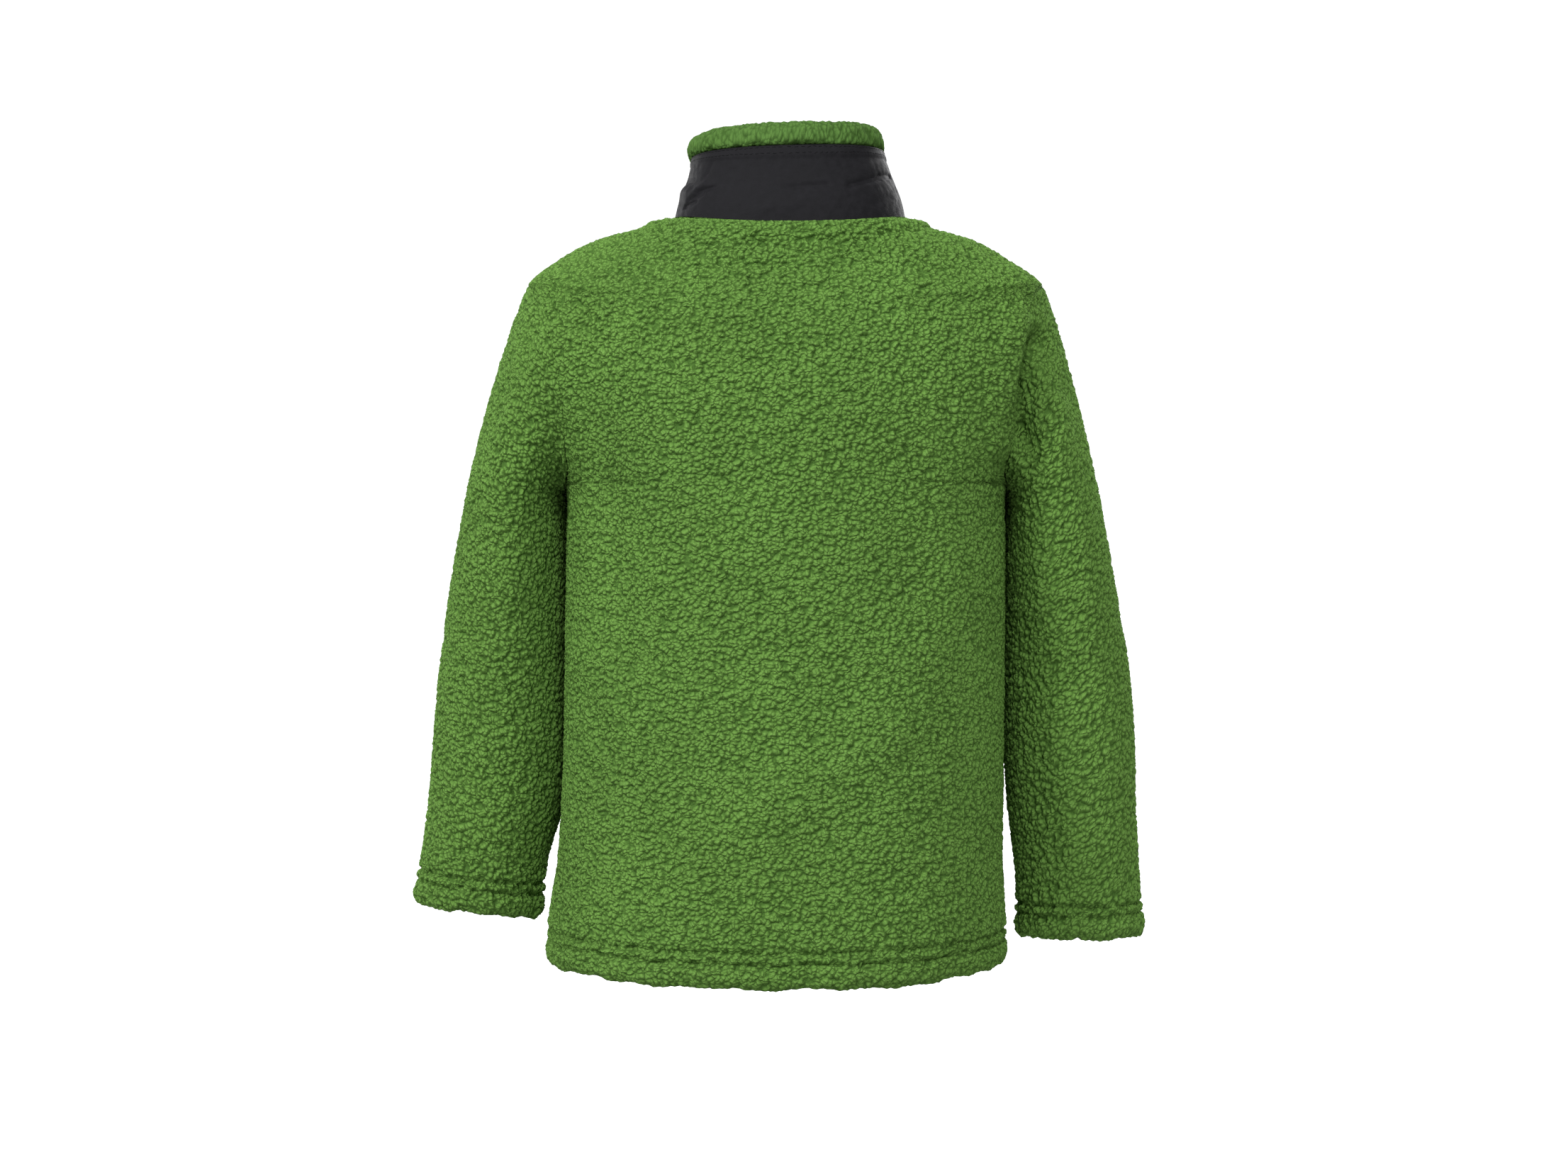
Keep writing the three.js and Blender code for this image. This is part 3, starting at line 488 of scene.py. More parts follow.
# The body's panels
panel = {
    "rows": 341,
    "backColumns": 261,
    "frontColumns": 133,
    "innerStep": 4,
    "seamDrop": 1.5,
    "seamReach": 3.2,
    "armholeDrop": 0.5,
    "armholeReach": 1.8,
    "neckRidgeUp": 466.0,
    "neckRidgeOut": 1.6,
    "neckRidgeSpread": 4.0,
    "hemRows": (14.3, 20.4),
    "hemWave": 1.1,  # how far the lower edge wanders up and down
    "zipStitch": 7.0,  # from the front's edge to the row of stitches beside the zip
    "armpitBlend": 8.0,  # how far above and below the armpit the armhole's shallower seam comes in
    "shoulderBlend": 12.0,
    "armholeBand": 20.0,  # as far in from the edge as that seam reaches
    "comb": (1, 0, 0.25, 1.12),
}


def edgeWave(turn, seed, reach):  # an uneven wave round a hem, whole turns of it
    chance = np.random.default_rng(seed)
    waves = []
    for count in (3, 7, 11, 18, 27):
        waves.append(np.sin(count * turn + chance.uniform(0, 6.28)) * chance.uniform(0.5, 1))
    return reach * sum(waves) / 2.2


def torsoWall(up, angle):
    ring = tableAt(torsoRings, "up", up)
    point = ringPoint(ring, angle)
    normal = ringNormal(torsoRings, up, angle)
    hem = tableAt(hemProfile, "up", np.minimum(up, cut["hemUp"]))
    isBack = np.sin(angle) > 0
    nearZip = np.where(isBack, 1, smoothStep(np.abs(point[..., 0]), 30, 48))
    thick = cut["fleece"] + (hem["thick"] - cut["fleece"]) * nearZip
    ridge = panel["neckRidgeOut"] * np.exp(-(((up - panel["neckRidgeUp"]) / panel["neckRidgeSpread"]) ** 2))
    outer = point + normal * (hem["out"] * nearZip + ridge + bodyFoldOut(up, angle))[..., None]
    outer[..., 2] += edgeWave(angle, 5, panel["hemWave"]) * (1 - smoothStep(up, 0, 34))
    inward = normal.copy()
    inward[..., 2] *= 1 - smoothStep(up, panel["neckRidgeUp"] - 10, cut["neckUp"])
    return outer, unit(inward), normal, thick


def bodyPanel(name, startAngle, endAngle, columns, seed, zipSide=0):
    up = np.linspace(0, cut["neckUp"], panel["rows"])[:, None]
    start, end = startAngle(up[:, 0])[:, None], endAngle(up[:, 0])[:, None]
    coarse = start + (end - start) * np.linspace(0, 1, 161)
    even, length = evenly(ringPoint(tableAt(torsoRings, "up", up), coarse), columns)
    angle = start + (end - start) * even
    outer, inward, normal, thick = torsoWall(up, angle)
    fromStart = length[:, None] * np.linspace(0, 1, columns)
    fromEnd = length[:, None] - fromStart
    edge = np.minimum(fromStart, fromEnd)
    edge = np.minimum(edge, cut["neckUp"] - up)
    atArmhole = smoothStep(up, cut["armpitUp"] - panel["armpitBlend"], cut["armpitUp"] + panel["armpitBlend"])
    belowTip = 1 - smoothStep(up, cut["shoulderUp"] - panel["shoulderBlend"], cut["shoulderUp"])
    atArmhole = atArmhole * belowTip * (edge < panel["armholeBand"])
    deep = panel["seamDrop"] + (panel["armholeDrop"] - panel["seamDrop"]) * atArmhole
    reach = panel["seamReach"] + (panel["armholeReach"] - panel["seamReach"]) * atArmhole
    drop = deep * (1 - smoothStep(edge, 0, reach)) ** 1.5
    groove = np.zeros(edge.shape)
    for number, row in enumerate(panel["hemRows"]):
        groove += sewnGroove(up - row, outer[..., 0], seed + 7 * number)
    if zipSide:
        away = (fromStart if zipSide > 0 else fromEnd) - panel["zipStitch"]
        groove += sewnGroove(away, up, seed + 40, 1.4)
    hemTurn = 1 - smoothStep(up, 0, 4)
    face = outer + normal * (groove - drop)[..., None]
    step = panel["innerStep"]
    inner = (outer - inward * thick[..., None])[::step, ::step]
    lift = (0.4 + 0.6 * smoothStep(edge, 0, 2.5)) * (1 - 0.4 * hemTurn)
    made = clothWall(name, face, inner, lift=np.broadcast_to(lift, edge.shape), comb=panel["comb"])
    return raiseNubs(made)


def backEdge(up):
    return armholeEdge(up, "back")


def frontEdge(up):
    return -armholeEdge(up, "front")


def zipAngle(side):
    return lambda up: angleAtX(tableAt(torsoRings, "up", up), side * cut["zipGap"])


print("panels")
backPanel = bodyPanel("back_panel", backEdge, lambda up: math.pi - backEdge(up), panel["backColumns"], 11)
leftFront = bodyPanel("front_left_panel", zipAngle(1), frontEdge, panel["frontColumns"], 101, 1)
rightFront = bodyPanel(
    "front_right_panel", lambda up: -math.pi - frontEdge(up), zipAngle(-1), panel["frontColumns"], 202, -1
)

# The sleeves
sleeve = {
    "columns": 192,
    "capRows": 96,
    "tubeRows": 192,
    "seamRows": 24,  # rows below the armhole that turn from the body's face to the sleeve's
    "innerStep": 4,
    "left": {"full": 0.75, "tuck": -0.25, "foldPower": 2.2},
    "right": {"full": 0.55, "tuck": 1.4, "foldPower": 1.2},
    "arrive": 0.9,
    "fallOut": 0.8,
    "fallDown": 0.6,
    "sag": 0.45,
    "hemRows": (14.3, 20.4),
    "hemWave": 0.9,
    "overlap": 0.6,  # how far its pile runs into the body's at the armhole
    "tipDrop": {"left": 0.5, "right": 1.2},  # how deep the seam shows near the shoulder
    "comb": {"left": (1, 0, 1.4, 1.2), "right": (-1, 0, 1.4, 1.35)},
}


def armholeLoop(side, turn):  # from the armpit up the back and down the front
    def place(at):
        up = cut["armpitUp"] + (1 - np.cos(at)) / 2 * (cut["shoulderUp"] - cut["armpitUp"])
        onBack = np.sin(at) > 0
        edge = tableAt(armholeEdges, "turn", np.degrees(np.arccos(np.cos(at))))
        turned = np.where(onBack, edge["back"], -edge["front"])
        return up, turned if side > 0 else math.pi - turned

    up, angle = place(turn)
    ends = [place(turn + shift) for shift in (-0.13, 0.13)]
    before, after = (ringPoint(tableAt(torsoRings, "up", u), a) for u, a in ends)
    normal = ringNormal(torsoRings, up, angle)
    inward = unit(np.cross(after - before, normal)) * -side
    point = ringPoint(tableAt(torsoRings, "up", up), angle) + normal * bodyFoldOut(up, angle)[..., None]
    return point, normal, inward


def sleevePoint(side, z, turn):
    ring = tableAt(sleeveRings["left" if side > 0 else "right"], "z", z)
    tilt = np.radians(ring["tilt"])
    outward = -ring["halfWidth"] * np.cos(turn)
    x = side * (ring["x"] + outward * np.cos(tilt))
    y = ring["y"] + ring["halfDepth"] * np.sin(turn)
    return np.stack(np.broadcast_arrays(x, y, z + outward * np.sin(tilt)), -1)


def sleevePiece(name, side, seed):
    hand = "left" if side > 0 else "right"
    rings = sleeveRings[hand]
    topZ, cuffZ = rings["z"][0], rings["z"][-1]
    turn = np.linspace(0, 2 * math.pi, sleeve["columns"], endpoint=False)
    point, loopNormal, inward = armholeLoop(side, turn)
    start = point - inward * sleeve["overlap"]
    fold = (((1 + np.cos(turn)) / 2) ** sleeve[hand]["foldPower"])[:, None]
    fall = np.array([side * sleeve["fallOut"], 0, -sleeve["fallDown"]])
    tuck = -sleeve[hand]["tuck"] * np.maximum(0, np.sin(turn))
    along = inward + np.stack([0 * turn, tuck, 0 * turn - sleeve["sag"]], 1)
    leave = unit(along * (1 - fold) + fall * fold)
    end = sleevePoint(side, topZ, turn)
    heading = unit(sleevePoint(side, topZ - 2, turn) - end)
    length = np.linalg.norm(end - start, axis=1)[:, None]
    t = np.linspace(0, 1, sleeve["capRows"], endpoint=False)[:, None, None]
    full = sleeve[hand]["full"]
    cap = hermite(start, leave * length * full, end, heading * length * sleeve["arrive"], t)
    z = np.linspace(topZ, cuffZ, sleeve["tubeRows"] + 1)[:, None]
    tube = sleevePoint(side, z, turn[None, :])
    base = np.concatenate([cap, tube])
    down = np.gradient(base, axis=0)
    around = (np.roll(base, -1, 1) - np.roll(base, 1, 1)) / 2
    normal = unit(np.cross(down, around) * -side)
    blend = (1 - np.cos(turn)) / 2
    share = np.zeros(len(base))
    share[: sleeve["seamRows"]] = np.linspace(1, 0, sleeve["seamRows"]) ** 2
    share = (share[:, None] * blend[None, :])[..., None]
    normal = unit(normal * (1 - share) + loopNormal[None] * share)
    height = base[..., 2]
    above = np.concatenate([np.full(sleeve["capRows"], 99.0), z[:, 0] - cuffZ])[:, None]
    hem = tableAt(hemProfile, "up", np.minimum(above, cut["hemUp"]))
    across = sleeveGirth * turn / (2 * math.pi)
    folds = foldOut(sleeveFolds[hand], across[None, :], height)
    fromSeam = np.linalg.norm(base - start[None], axis=2)
    folds *= smoothStep(fromSeam, 0, 5)
    tip = smoothStep(-np.cos(turn), 0.1, 0.8)[None, :]
    deep = panel["armholeDrop"] + (sleeve["tipDrop"][hand] - panel["armholeDrop"]) * tip
    drop = deep * (1 - smoothStep(fromSeam, 0, panel["armholeReach"] + tip)) ** 1.5
    groove = np.zeros(height.shape)
    for number, row in enumerate(sleeve["hemRows"]):
        groove += sewnGroove(above - row, across[None, :], seed + 7 * number)
    outer = base + normal * (hem["out"] + folds)[..., None]
    outer[..., 2] += edgeWave(turn, seed + 3, sleeve["hemWave"])[None, :] * (1 - smoothStep(above, 0, 34))
    step = sleeve["innerStep"]
    inner = (outer - normal * (hem["thick"] * np.ones(height.shape))[..., None])[::step, ::step]
    face = outer + normal * (groove - drop)[..., None]
    lift = (0.4 + 0.6 * smoothStep(fromSeam, 0, 2.5)) * (0.6 + 0.4 * smoothStep(above, 0, 4))
    made = clothWall(name, face, inner, tube=True, flip=side < 0, lift=lift, comb=sleeve["comb"][hand])
    return raiseNubs(made)


print("sleeves")
leftSleeve = sleevePiece("sleeve_left_panel", 1, 301)
rightSleeve = sleevePiece("sleeve_right_panel", -1, 402)

# The collar
collar = {
    "columns": 273,
    "length": 322.0,
    "stitchUp": (36.3, 38.9),
    "stitchLength": 2.3,
    "stitchThick": 0.42,
    "stitchPitch": 2.9,
    "comb": (0, 0, 1, 2.2),
}
shellOutline = [  # up and out
    (0, -1), (0, 0), (14, 0), (28, 0), (34.5, 0), (35.2, 0.5), (39.4, 0.5), (40, -0.2), (40, -1), (28, -1),
    (14, -1),
]
liningOutline = [
    (5, -6), (5, -3), (21, -3), (39, -3), (40.3, -0.6), (41.6, 1.3), (46, 2.1), (50.5, 1), (54, -3),
    (53.4, -6.6), (50, -9), (44.5, -9.2), (39.5, -7), (34, -6), (18, -6),
]
nylonFolds = table(  # across round the collar from the left side of the zip, along up it
    foldColumns,
    # the creases low on the left of the back
    (100, 8.5, 110, 11.5, 1.1, -2),
    (103, 12.5, 114, 15.5, 1.1, -1.9),
    (109, 16.5, 121, 19.5, 1.1, -1.8),
    (104, 16, 113, 21.5, 2.2, 0.9),
    (100, 12, 106, 12.5, 1.6, 0.7),
    (84, 25, 99, 24, 2.6, -1.5),
    (86, 18, 98, 17, 3.4, 1.2),
    (112, 27, 117, 36, 1.4, -0.7),
    # faint ones over the back and right
    (126, 30, 140, 24, 1.8, -0.5),
    (158, 20.5, 174, 21.5, 1.3, -1),
    (146, 8, 160, 12, 3, 0.5),
    (186, 20.5, 210, 24, 1.4, -1.5),
    (210, 24, 226, 25, 1.3, -1.6),
    (196, 28, 224, 30, 3, 0.6),
    (198, 10, 214, 14, 2, -0.6),
    (228, 18, 236, 6, 2.2, -0.9),
    # the sides and front
    (60, 30, 74, 16, 2.2, -0.9),
    (66, 8, 80, 14, 2.2, -0.8),
    (250, 28, 262, 12, 2.4, -0.9),
    (276, 10, 288, 26, 2.2, -0.8),
    (40, 10, 52, 28, 2.6, -0.7),
    (24, 28, 34, 14, 2.4, -0.7),
    (300, 24, 312, 10, 2.4, -0.7),
)


def collarPlace(up, out, share):
    ring = tableAt(collarRings, "up", up)
    start = angleAtX(ring, cut["zipGap"])
    end = 2 * math.pi + angleAtX(ring, -cut["zipGap"])
    angle = start + (end - start) * share
    return ringPoint(ring, angle) + ringNormal(collarRings, up, angle) * np.asarray(out)[..., None]


def fineOutline(outline, gap, smooth):  # closed, with points about gap apart
    spots = np.array(outline, float)
    ahead = np.roll(spots, -1, 0)
    slopes = (ahead - np.roll(spots, 1, 0)) / 2 if smooth else np.zeros(spots.shape)
    made = []
    for i, spot in enumerate(spots):
        count = max(1, round(np.linalg.norm(ahead[i] - spot) / gap))
        t = (np.arange(count) / count)[:, None]
        if smooth:
            made.append(hermite(spot, slopes[i], ahead[i], slopes[(i + 1) % len(spots)], t))
        else:
            made.append(spot + (ahead[i] - spot) * t)
    return np.concatenate(made)


def sweptCollar(name, outline, raised):
    share = np.linspace(0, 1, collar["columns"])
    up, out, share = outline[None, :, 0], outline[None, :, 1], share[:, None]
    grid = collarPlace(up, out + raised(share, up, out), share)
    size = len(outline)
    ids = np.arange(grid.shape[0] * size).reshape(-1, size)
    ids = np.concatenate([ids, ids[:, :1]], 1)
    quads = np.stack([ids[:-1, :-1], ids[1:, :-1], ids[1:, 1:], ids[:-1, 1:]], -1).reshape(-1, 4)
    us, vs = np.linspace(0, 1, ids.shape[0]), np.linspace(0, 0.94, ids.shape[1])
    spots = np.stack(np.meshgrid(us, vs, indexing="ij"), -1)
    maps = np.stack([spots[:-1, :-1], spots[1:, :-1], spots[1:, 1:], spots[:-1, 1:]], 2).reshape(-1, 2)
    faces = quads.tolist()
    ends = [ids[0, :-1].tolist(), ids[-1, :-1][::-1].tolist()]
    flat = outline - outline.min(0)
    flat = flat / flat.max() * 0.05
    cap = [[0.1 + spot[0], 0.945 + spot[1]] for spot in flat]
    maps = np.concatenate([maps, cap, [[x + 0.3, y] for x, y in cap][::-1]])
    return grid, faces + ends, maps


print("collar")
shellLine = fineOutline(shellOutline, 1.0, False)


def shellRaise(share, up, out):
    across = share * collar["length"]
    creased = foldOut(nylonFolds, across, up) * smoothStep(up, 1, 6) * (1 - smoothStep(up, 32, 35))
    crinkle = 0.1 * np.sin(across * 0.9 + 1.6 * np.sin(up * 0.31)) * np.sin(up * 0.43 + share * 40)
    return np.where(out > -0.9, creased + crinkle * (1 - smoothStep(up, 33, 35)), 0)


def rollRaise(share, up, out):  # the roll is fuller over the left side
    leftSide = np.exp(-(((share - 0.24) / 0.07) ** 2))
    uneven = 0.35 * np.sin(share * 41) + 0.3 * np.sin(share * 73 + 1)
    return (1.6 * leftSide + uneven) * smoothStep(up, 40, 43) * smoothStep(out, -5, 0)


shellGrid, shellFaces, shellMaps = sweptCollar("collar_nylon", shellLine, shellRaise)
shellPoints = shellGrid.reshape(-1, 3) * mm
collarShell = meshObject("collar_nylon", shellPoints, shellFaces, shellMaps, np.zeros(len(shellPoints)))

liningLine = fineOutline(liningOutline, 1.35, True)
liningGrid, liningFaces, liningMaps = sweptCollar("collar_fleece", liningLine, rollRaise)
hidden = (liningLine[:, 0] < 40.2) & (liningLine[:, 1] > -5)
liningLift = np.broadcast_to(np.where(hidden, 0.0, 0.6), liningGrid.shape[:2]).ravel()
liningPoints = liningGrid.reshape(-1, 3) * mm
collarLining = raiseNubs(
    meshObject("collar_fleece", liningPoints, liningFaces, liningMaps, liningLift, collar["comb"])
)

# Small repeated shapes: thread stitches and zip teeth

def prism(outline, low, high, bevel):  # a plate from an outline, with eased edges
    ahead, behind = np.roll(outline, -1, 0), np.roll(outline, 1, 0)
    along = unit(unit(ahead - outline) + unit(outline - behind))
    inset = outline + np.stack([-along[:, 1], along[:, 0]], 1) * bevel
    rings = ((inset, low), (outline, low + bevel), (outline, high - bevel), (inset, high))
    points = np.concatenate([np.column_stack([ring, np.full(len(ring), z)]) for ring, z in rings])
    size = len(outline)
    faces = [list(range(size))[::-1], list(range(3 * size, 4 * size))]
    for first in range(0, 3 * size, size):
        for k in range(size):
            a, b = first + k, first + (k + 1) % size
            faces.append([a, b, b + size, a + size])
    return points, faces


def stitchShape(length, thick):  # one stitch of thread, lying along x and half sunk
    rings, around = 6, 6
    turns = np.linspace(0, 2 * math.pi, around, endpoint=False)
    points, faces = [], []
    for k in range(rings):
        at = -math.cos(math.pi * (k + 0.35) / (rings - 0.3))
        wide = thick / 2 * (1 - at**4) ** 0.5
        points += [(at * length / 2, wide * math.cos(turn), wide * 0.8 * math.sin(turn)) for turn in turns]
    for first in range(0, (rings - 1) * around, around):
        for k in range(around):
            a, b = first + k, first + (k + 1) % around
            faces.append([a, b, b + around, a + around])
    faces += [list(range(around))[::-1], list(range((rings - 1) * around, rings * around))]
    return np.array(points), faces


def repeated(name, shape, faces, places, axes):  # the shape once at every place; axes hold its x, y and z
    points = places[:, None, :] + np.einsum("pi,nij->npj", shape, axes)
    size = len(shape)
    many = [[corner + k * size for corner in face] for k in range(len(places)) for face in faces]
    return meshObject(name, points.reshape(-1, 3) * mm, many, None, np.zeros(len(places) * size))


def stitchRow(up, out, chance):  # places and axes of a row of stitches round the collar
    count = round((collar["length"] - 4) / collar["stitchPitch"])
    share = (np.arange(count) + 0.5) / count * 0.985 + 0.0075
    share = share + chance.normal(0, 0.0003, count)
    place = collarPlace(np.full(count, up) + chance.normal(0, 0.09, count), np.full(count, out), share)
    ahead = collarPlace(np.full(count, up), np.full(count, out), share + 0.002)
    above = collarPlace(np.full(count, up + 0.6), np.full(count, out), share)
    along, upward = unit(ahead - place), unit(above - place)
    tilt = chance.normal(0.04, 0.09, count)[:, None]
    along = unit(along + upward * tilt)
    outward = unit(np.cross(along, upward))
    return place, np.stack([along, np.cross(outward, along), outward], 1)


chance = np.random.default_rng(77)
rows = [stitchRow(up, 0.5, chance) for up in collar["stitchUp"]]
stitch, stitchFaces = stitchShape(collar["stitchLength"], collar["stitchThick"])
places, axes = (np.concatenate(parts) for parts in zip(*rows))
collarStitches = repeated("collar_stitches", stitch, stitchFaces, places, axes)

# The zip
print("zip")
zipSizes = {
    "tapeFrom": 0.1,  # the tapes meet behind the teeth, as the solid chain is closed
    "tapeReach": 14.0,
    "tapeRows": 401,
    "tapeColumns": 13,
    "chainSpan": (0.024, 0.953),  # shares of the tape's length
    "toothPitch": 2.6,
    "toothDepth": 2.3,
    "toothBevel": 0.2,
    "metalBevel": 0.28,
    "lineSteps": 2000,  # along the zip, to set the teeth on
    "slopeSteps": 6,  # on either side of a tooth, for the line's slope there
}
toothOutline = np.array([  # from the front: a block on the tape's edge, a neck and a head past the middle
    (2.6, -0.62), (2.6, 0.62), (0.95, 0.62), (0.35, 0.34), (-0.15, 0.36), (-0.45, 0.6), (-0.85, 0.48),
    (-1, 0), (-0.85, -0.48), (-0.45, -0.6), (-0.15, -0.36), (0.35, -0.34), (0.95, -0.62),
])
zipPath = (  # heights of the tape's points, and how far behind the cloth's face they are
    (torsoRings, (1, 40, 90, 140, 190, 240, 290, 340, 390, 420), cut["fleece"] + cut["tapeGap"]),
    (torsoRings, (440,), cut["fleece"] + cut["tapeGap"] + 1),
    (collarRings, (-6, 0), cut["nylon"] + cut["tapeGap"] + 0.9),
    (collarRings, (6, 15, 26, 38), cut["nylon"] + cut["tapeGap"]),
)


def smoothLine(knots, count):  # evenly spaced points on a smooth line through the knots
    before, after = 2 * knots[:1] - knots[1:2], 2 * knots[-1:] - knots[-2:-1]
    spots = np.concatenate([before, knots, after])
    t = np.linspace(0, 1, 24, endpoint=False)[:, None]
    made = []
    for a, b, c, d in zip(spots[:-3], spots[1:-2], spots[2:-1], spots[3:]):
        first, middle, last = (np.linalg.norm(q - p) ** 0.5 for p, q in ((a, b), (b, c), (c, d)))
        leave = ((b - a) / first - (c - a) / (first + middle) + (c - b) / middle) * middle
        arrive = ((c - b) / middle - (d - b) / (middle + last) + (d - c) / last) * middle
        made.append(hermite(b, leave, c, arrive, t))
    line = np.concatenate(made + [spots[-2:-1]])
    total = np.concatenate([[0], np.cumsum(np.linalg.norm(np.diff(line, axis=0), axis=1))])
    wanted = np.linspace(0, total[-1], count)
    return np.stack([np.interp(wanted, total, line[:, k]) for k in range(3)], 1)


def zipLine(x, depth, count):
    knots = []
    for rings, ups, behind in zipPath:
        up = np.array(ups, float)
        ring = tableAt(rings, "up", up)
        angle = angleAtX(ring, x)
        knots.append(ringPoint(ring, angle) - ringNormal(rings, up, angle) * (behind + depth))
    return smoothLine(np.concatenate(knots), count)


def zipTape(name, side):
    reach = np.linspace(zipSizes["tapeFrom"], zipSizes["tapeReach"], zipSizes["tapeColumns"])
    across = side * (reach if side > 0 else reach[::-1])
    face = np.stack([zipLine(x, 0, zipSizes["tapeRows"]) for x in across], 1)
    rear = np.stack([zipLine(x, cut["tape"], zipSizes["tapeRows"]) for x in across], 1)
    return clothWall(name, face, rear[::4, ::4])


def zipTeeth():
    steps, reach = zipSizes["lineSteps"], zipSizes["slopeSteps"]
    line = zipLine(0, cut["tape"] / 2, steps + 1)
    length = np.linalg.norm(np.diff(line, axis=0), axis=1).sum()
    low, high = zipSizes["chainSpan"]
    count = int((high - low) * length / (zipSizes["toothPitch"] / 2))
    share = low + (high - low) * (np.arange(count) + 0.5) / count
    at = np.round(share * steps).astype(int)
    tangent = unit(line[np.minimum(at + reach, steps)] - line[np.maximum(at - reach, 0)])
    side = np.where(np.arange(count) % 2, 1.0, -1.0)[:, None]
    across = np.array([1.0, 0, 0]) * side
    outward = unit(np.cross(across, tangent * side))
    half = zipSizes["toothDepth"] / 2
    tooth, faces = prism(toothOutline, -half, half, zipSizes["toothBevel"])
    return repeated("zip_teeth", tooth, faces, line[at], np.stack([across, tangent * side, outward], 1))


def easedMetal(name, node):  # a hard piece with its edges rounded
    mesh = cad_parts[node].data.copy()
    shape = bmesh.new()
    shape.from_mesh(mesh)
    bmesh.ops.remove_doubles(shape, verts=shape.verts, dist=0.00002)
    bmesh.ops.dissolve_limit(shape, angle_limit=0.03, verts=shape.verts, edges=shape.edges)
    sharp = [edge for edge in shape.edges if len(edge.link_faces) == 2 and edge.calc_face_angle() > 0.6]
    bmesh.ops.bevel(
        shape,
        geom=sharp,
        offset=zipSizes["metalBevel"] * mm,
        segments=3,
        profile=0.55,
        affect="EDGES",
        clamp_overlap=True,
    )
    bmesh.ops.triangulate(shape, faces=shape.faces)
    shape.to_mesh(mesh)
    shape.free()
    mesh.materials.clear()
    mesh.name = name
    made = bpy.data.objects.new(name, mesh)
    scene.collection.objects.link(made)
    return made


leftTape, rightTape = zipTape("zip_tape_left_woven", 1), zipTape("zip_tape_right_woven", -1)
teeth = zipTeeth()
slider = easedMetal("zip_slider_body", "zip_slider")
pullTab = easedMetal("zip_pull_tab", "zip_pull")
bottomBox = easedMetal("zip_bottom_box", "zip_box")

# Finishes
# the fleece's colours by the pile's height: painted shade in the crevices, the fleece's own green between,
# painted light on the nub tops
fleeceLook = {
    "creviceShade": (0.064, 0.138, 0.027, 1),
    "body": (0.126, 0.257, 0.051, 1),
    "top": (0.148, 0.292, 0.063, 1),
    "roughness": 0.95,
    "specular": 0.02,
}
# the collar lining's colours, all darker than the body's fleece: painted shade in the crevices, its green
# between, painted light on the nub tops
collarLook = {
    "creviceShade": (0.048, 0.104, 0.022, 1),
    "body": (0.072, 0.150, 0.034, 1),
    "top": (0.086, 0.176, 0.040, 1),
    "roughness": 0.95,
    "specular": 0.02,
}


def newMaterial(name):
    made = bpy.data.materials.new(name)
    made.use_nodes = True
    shader = made.node_tree.nodes["Principled BSDF"]
    return made, made.node_tree, shader


def restPlace(tree):
    return addNode(tree, "ShaderNodeAttribute", attribute_name="restPlace").outputs["Vector"]


def finish(tree, shader, shade, height, strength, distance, **values):  # values: sockets or numbers
    bump = addNode(tree, "ShaderNodeBump", {"Height": height, "Strength": strength, "Distance": distance})
    sockets = {"roughness": "Roughness", "specular": "Specular IOR Level", "metallic": "Metallic"}
    tree.links.new(shade, shader.inputs["Base Color"])
    tree.links.new(bump.outputs[0], shader.inputs["Normal"])
    for name, value in values.items():
        if isinstance(value, bpy.types.NodeSocket):
            tree.links.new(value, shader.inputs[sockets[name]])
        else:
            shader.inputs[sockets[name]].default_value = value


def ramp(tree, value, *stops):
    made = addNode(tree, "ShaderNodeValToRGB", {"Fac": value})
    points = made.color_ramp.elements
    for i, (at, colour) in enumerate(stops):
        point = points[i] if i < 2 else points.new(at)
        point.position, point.color = at, colour
    return made.outputs[0]


def fleeceMaterial(name, look, bumpShare):
    made, tree, shader = newMaterial(name)
    place = restPlace(tree)
    grain = maths(tree, "SUBTRACT", noise(tree, place, pile["fuzzPerMetre"], 3.0).outputs[0], 0.5)
    total = maths(tree, "MULTIPLY_ADD", grain, pile["fuzz"], pileHeight(tree, place))
    # painted shade in the crevices and painted light on the nub tops, from the same height that drives the
    # bump
    shade = ramp(tree, total, (0.14, look["creviceShade"]), (0.46, look["body"]), (0.95, look["top"]))
    tint = spread(tree, noise(tree, place, 22.0).outputs[0], 0.93, 1.06, 0.3, 0.7, False)
    varied = addNode(tree, "ShaderNodeHueSaturation", {"Color": shade, "Value": tint}).outputs[0]
    rough, specular = look["roughness"], look["specular"]
    finish(tree, shader, varied, total, bumpShare, pile["bump"], roughness=rough, specular=specular)
    return made


def nylonMaterial():
    made, tree, shader = newMaterial("black_nylon")
    place = restPlace(tree)
    wave = {"Vector": place, "Scale": 700.0, "Distortion": 0.6}
    weave = addNode(tree, "ShaderNodeTexWave", wave, bands_direction="Z").outputs["Fac"]
    warp = addNode(tree, "ShaderNodeTexWave", wave, bands_direction="X").outputs["Fac"]
    stretched = vectorMaths(tree, "MULTIPLY", place, (260.0, 260.0, 300.0))
    crinkle = noise(tree, stretched, 1.0, 3.0).outputs[0]
    woven = maths(tree, "MULTIPLY", maths(tree, "MULTIPLY", weave, warp), 0.35)
    height = maths(tree, "MULTIPLY_ADD", crinkle, 2.2, woven)
    # darker in the crinkle's hollows and lighter on its ridges, from the same noise as the bump: painted
    # shade and light over the nylon's own near-black
    shade = ramp(tree, crinkle, (0.3, (0.0075, 0.0073, 0.0088, 1)), (0.75, (0.013, 0.0127, 0.0148, 1)))
    rough = spread(tree, crinkle, 0.6, 0.76, 0.3, 0.7, False)
    finish(tree, shader, shade, height, 0.5, 0.0003, roughness=rough, specular=0.1)
    return made


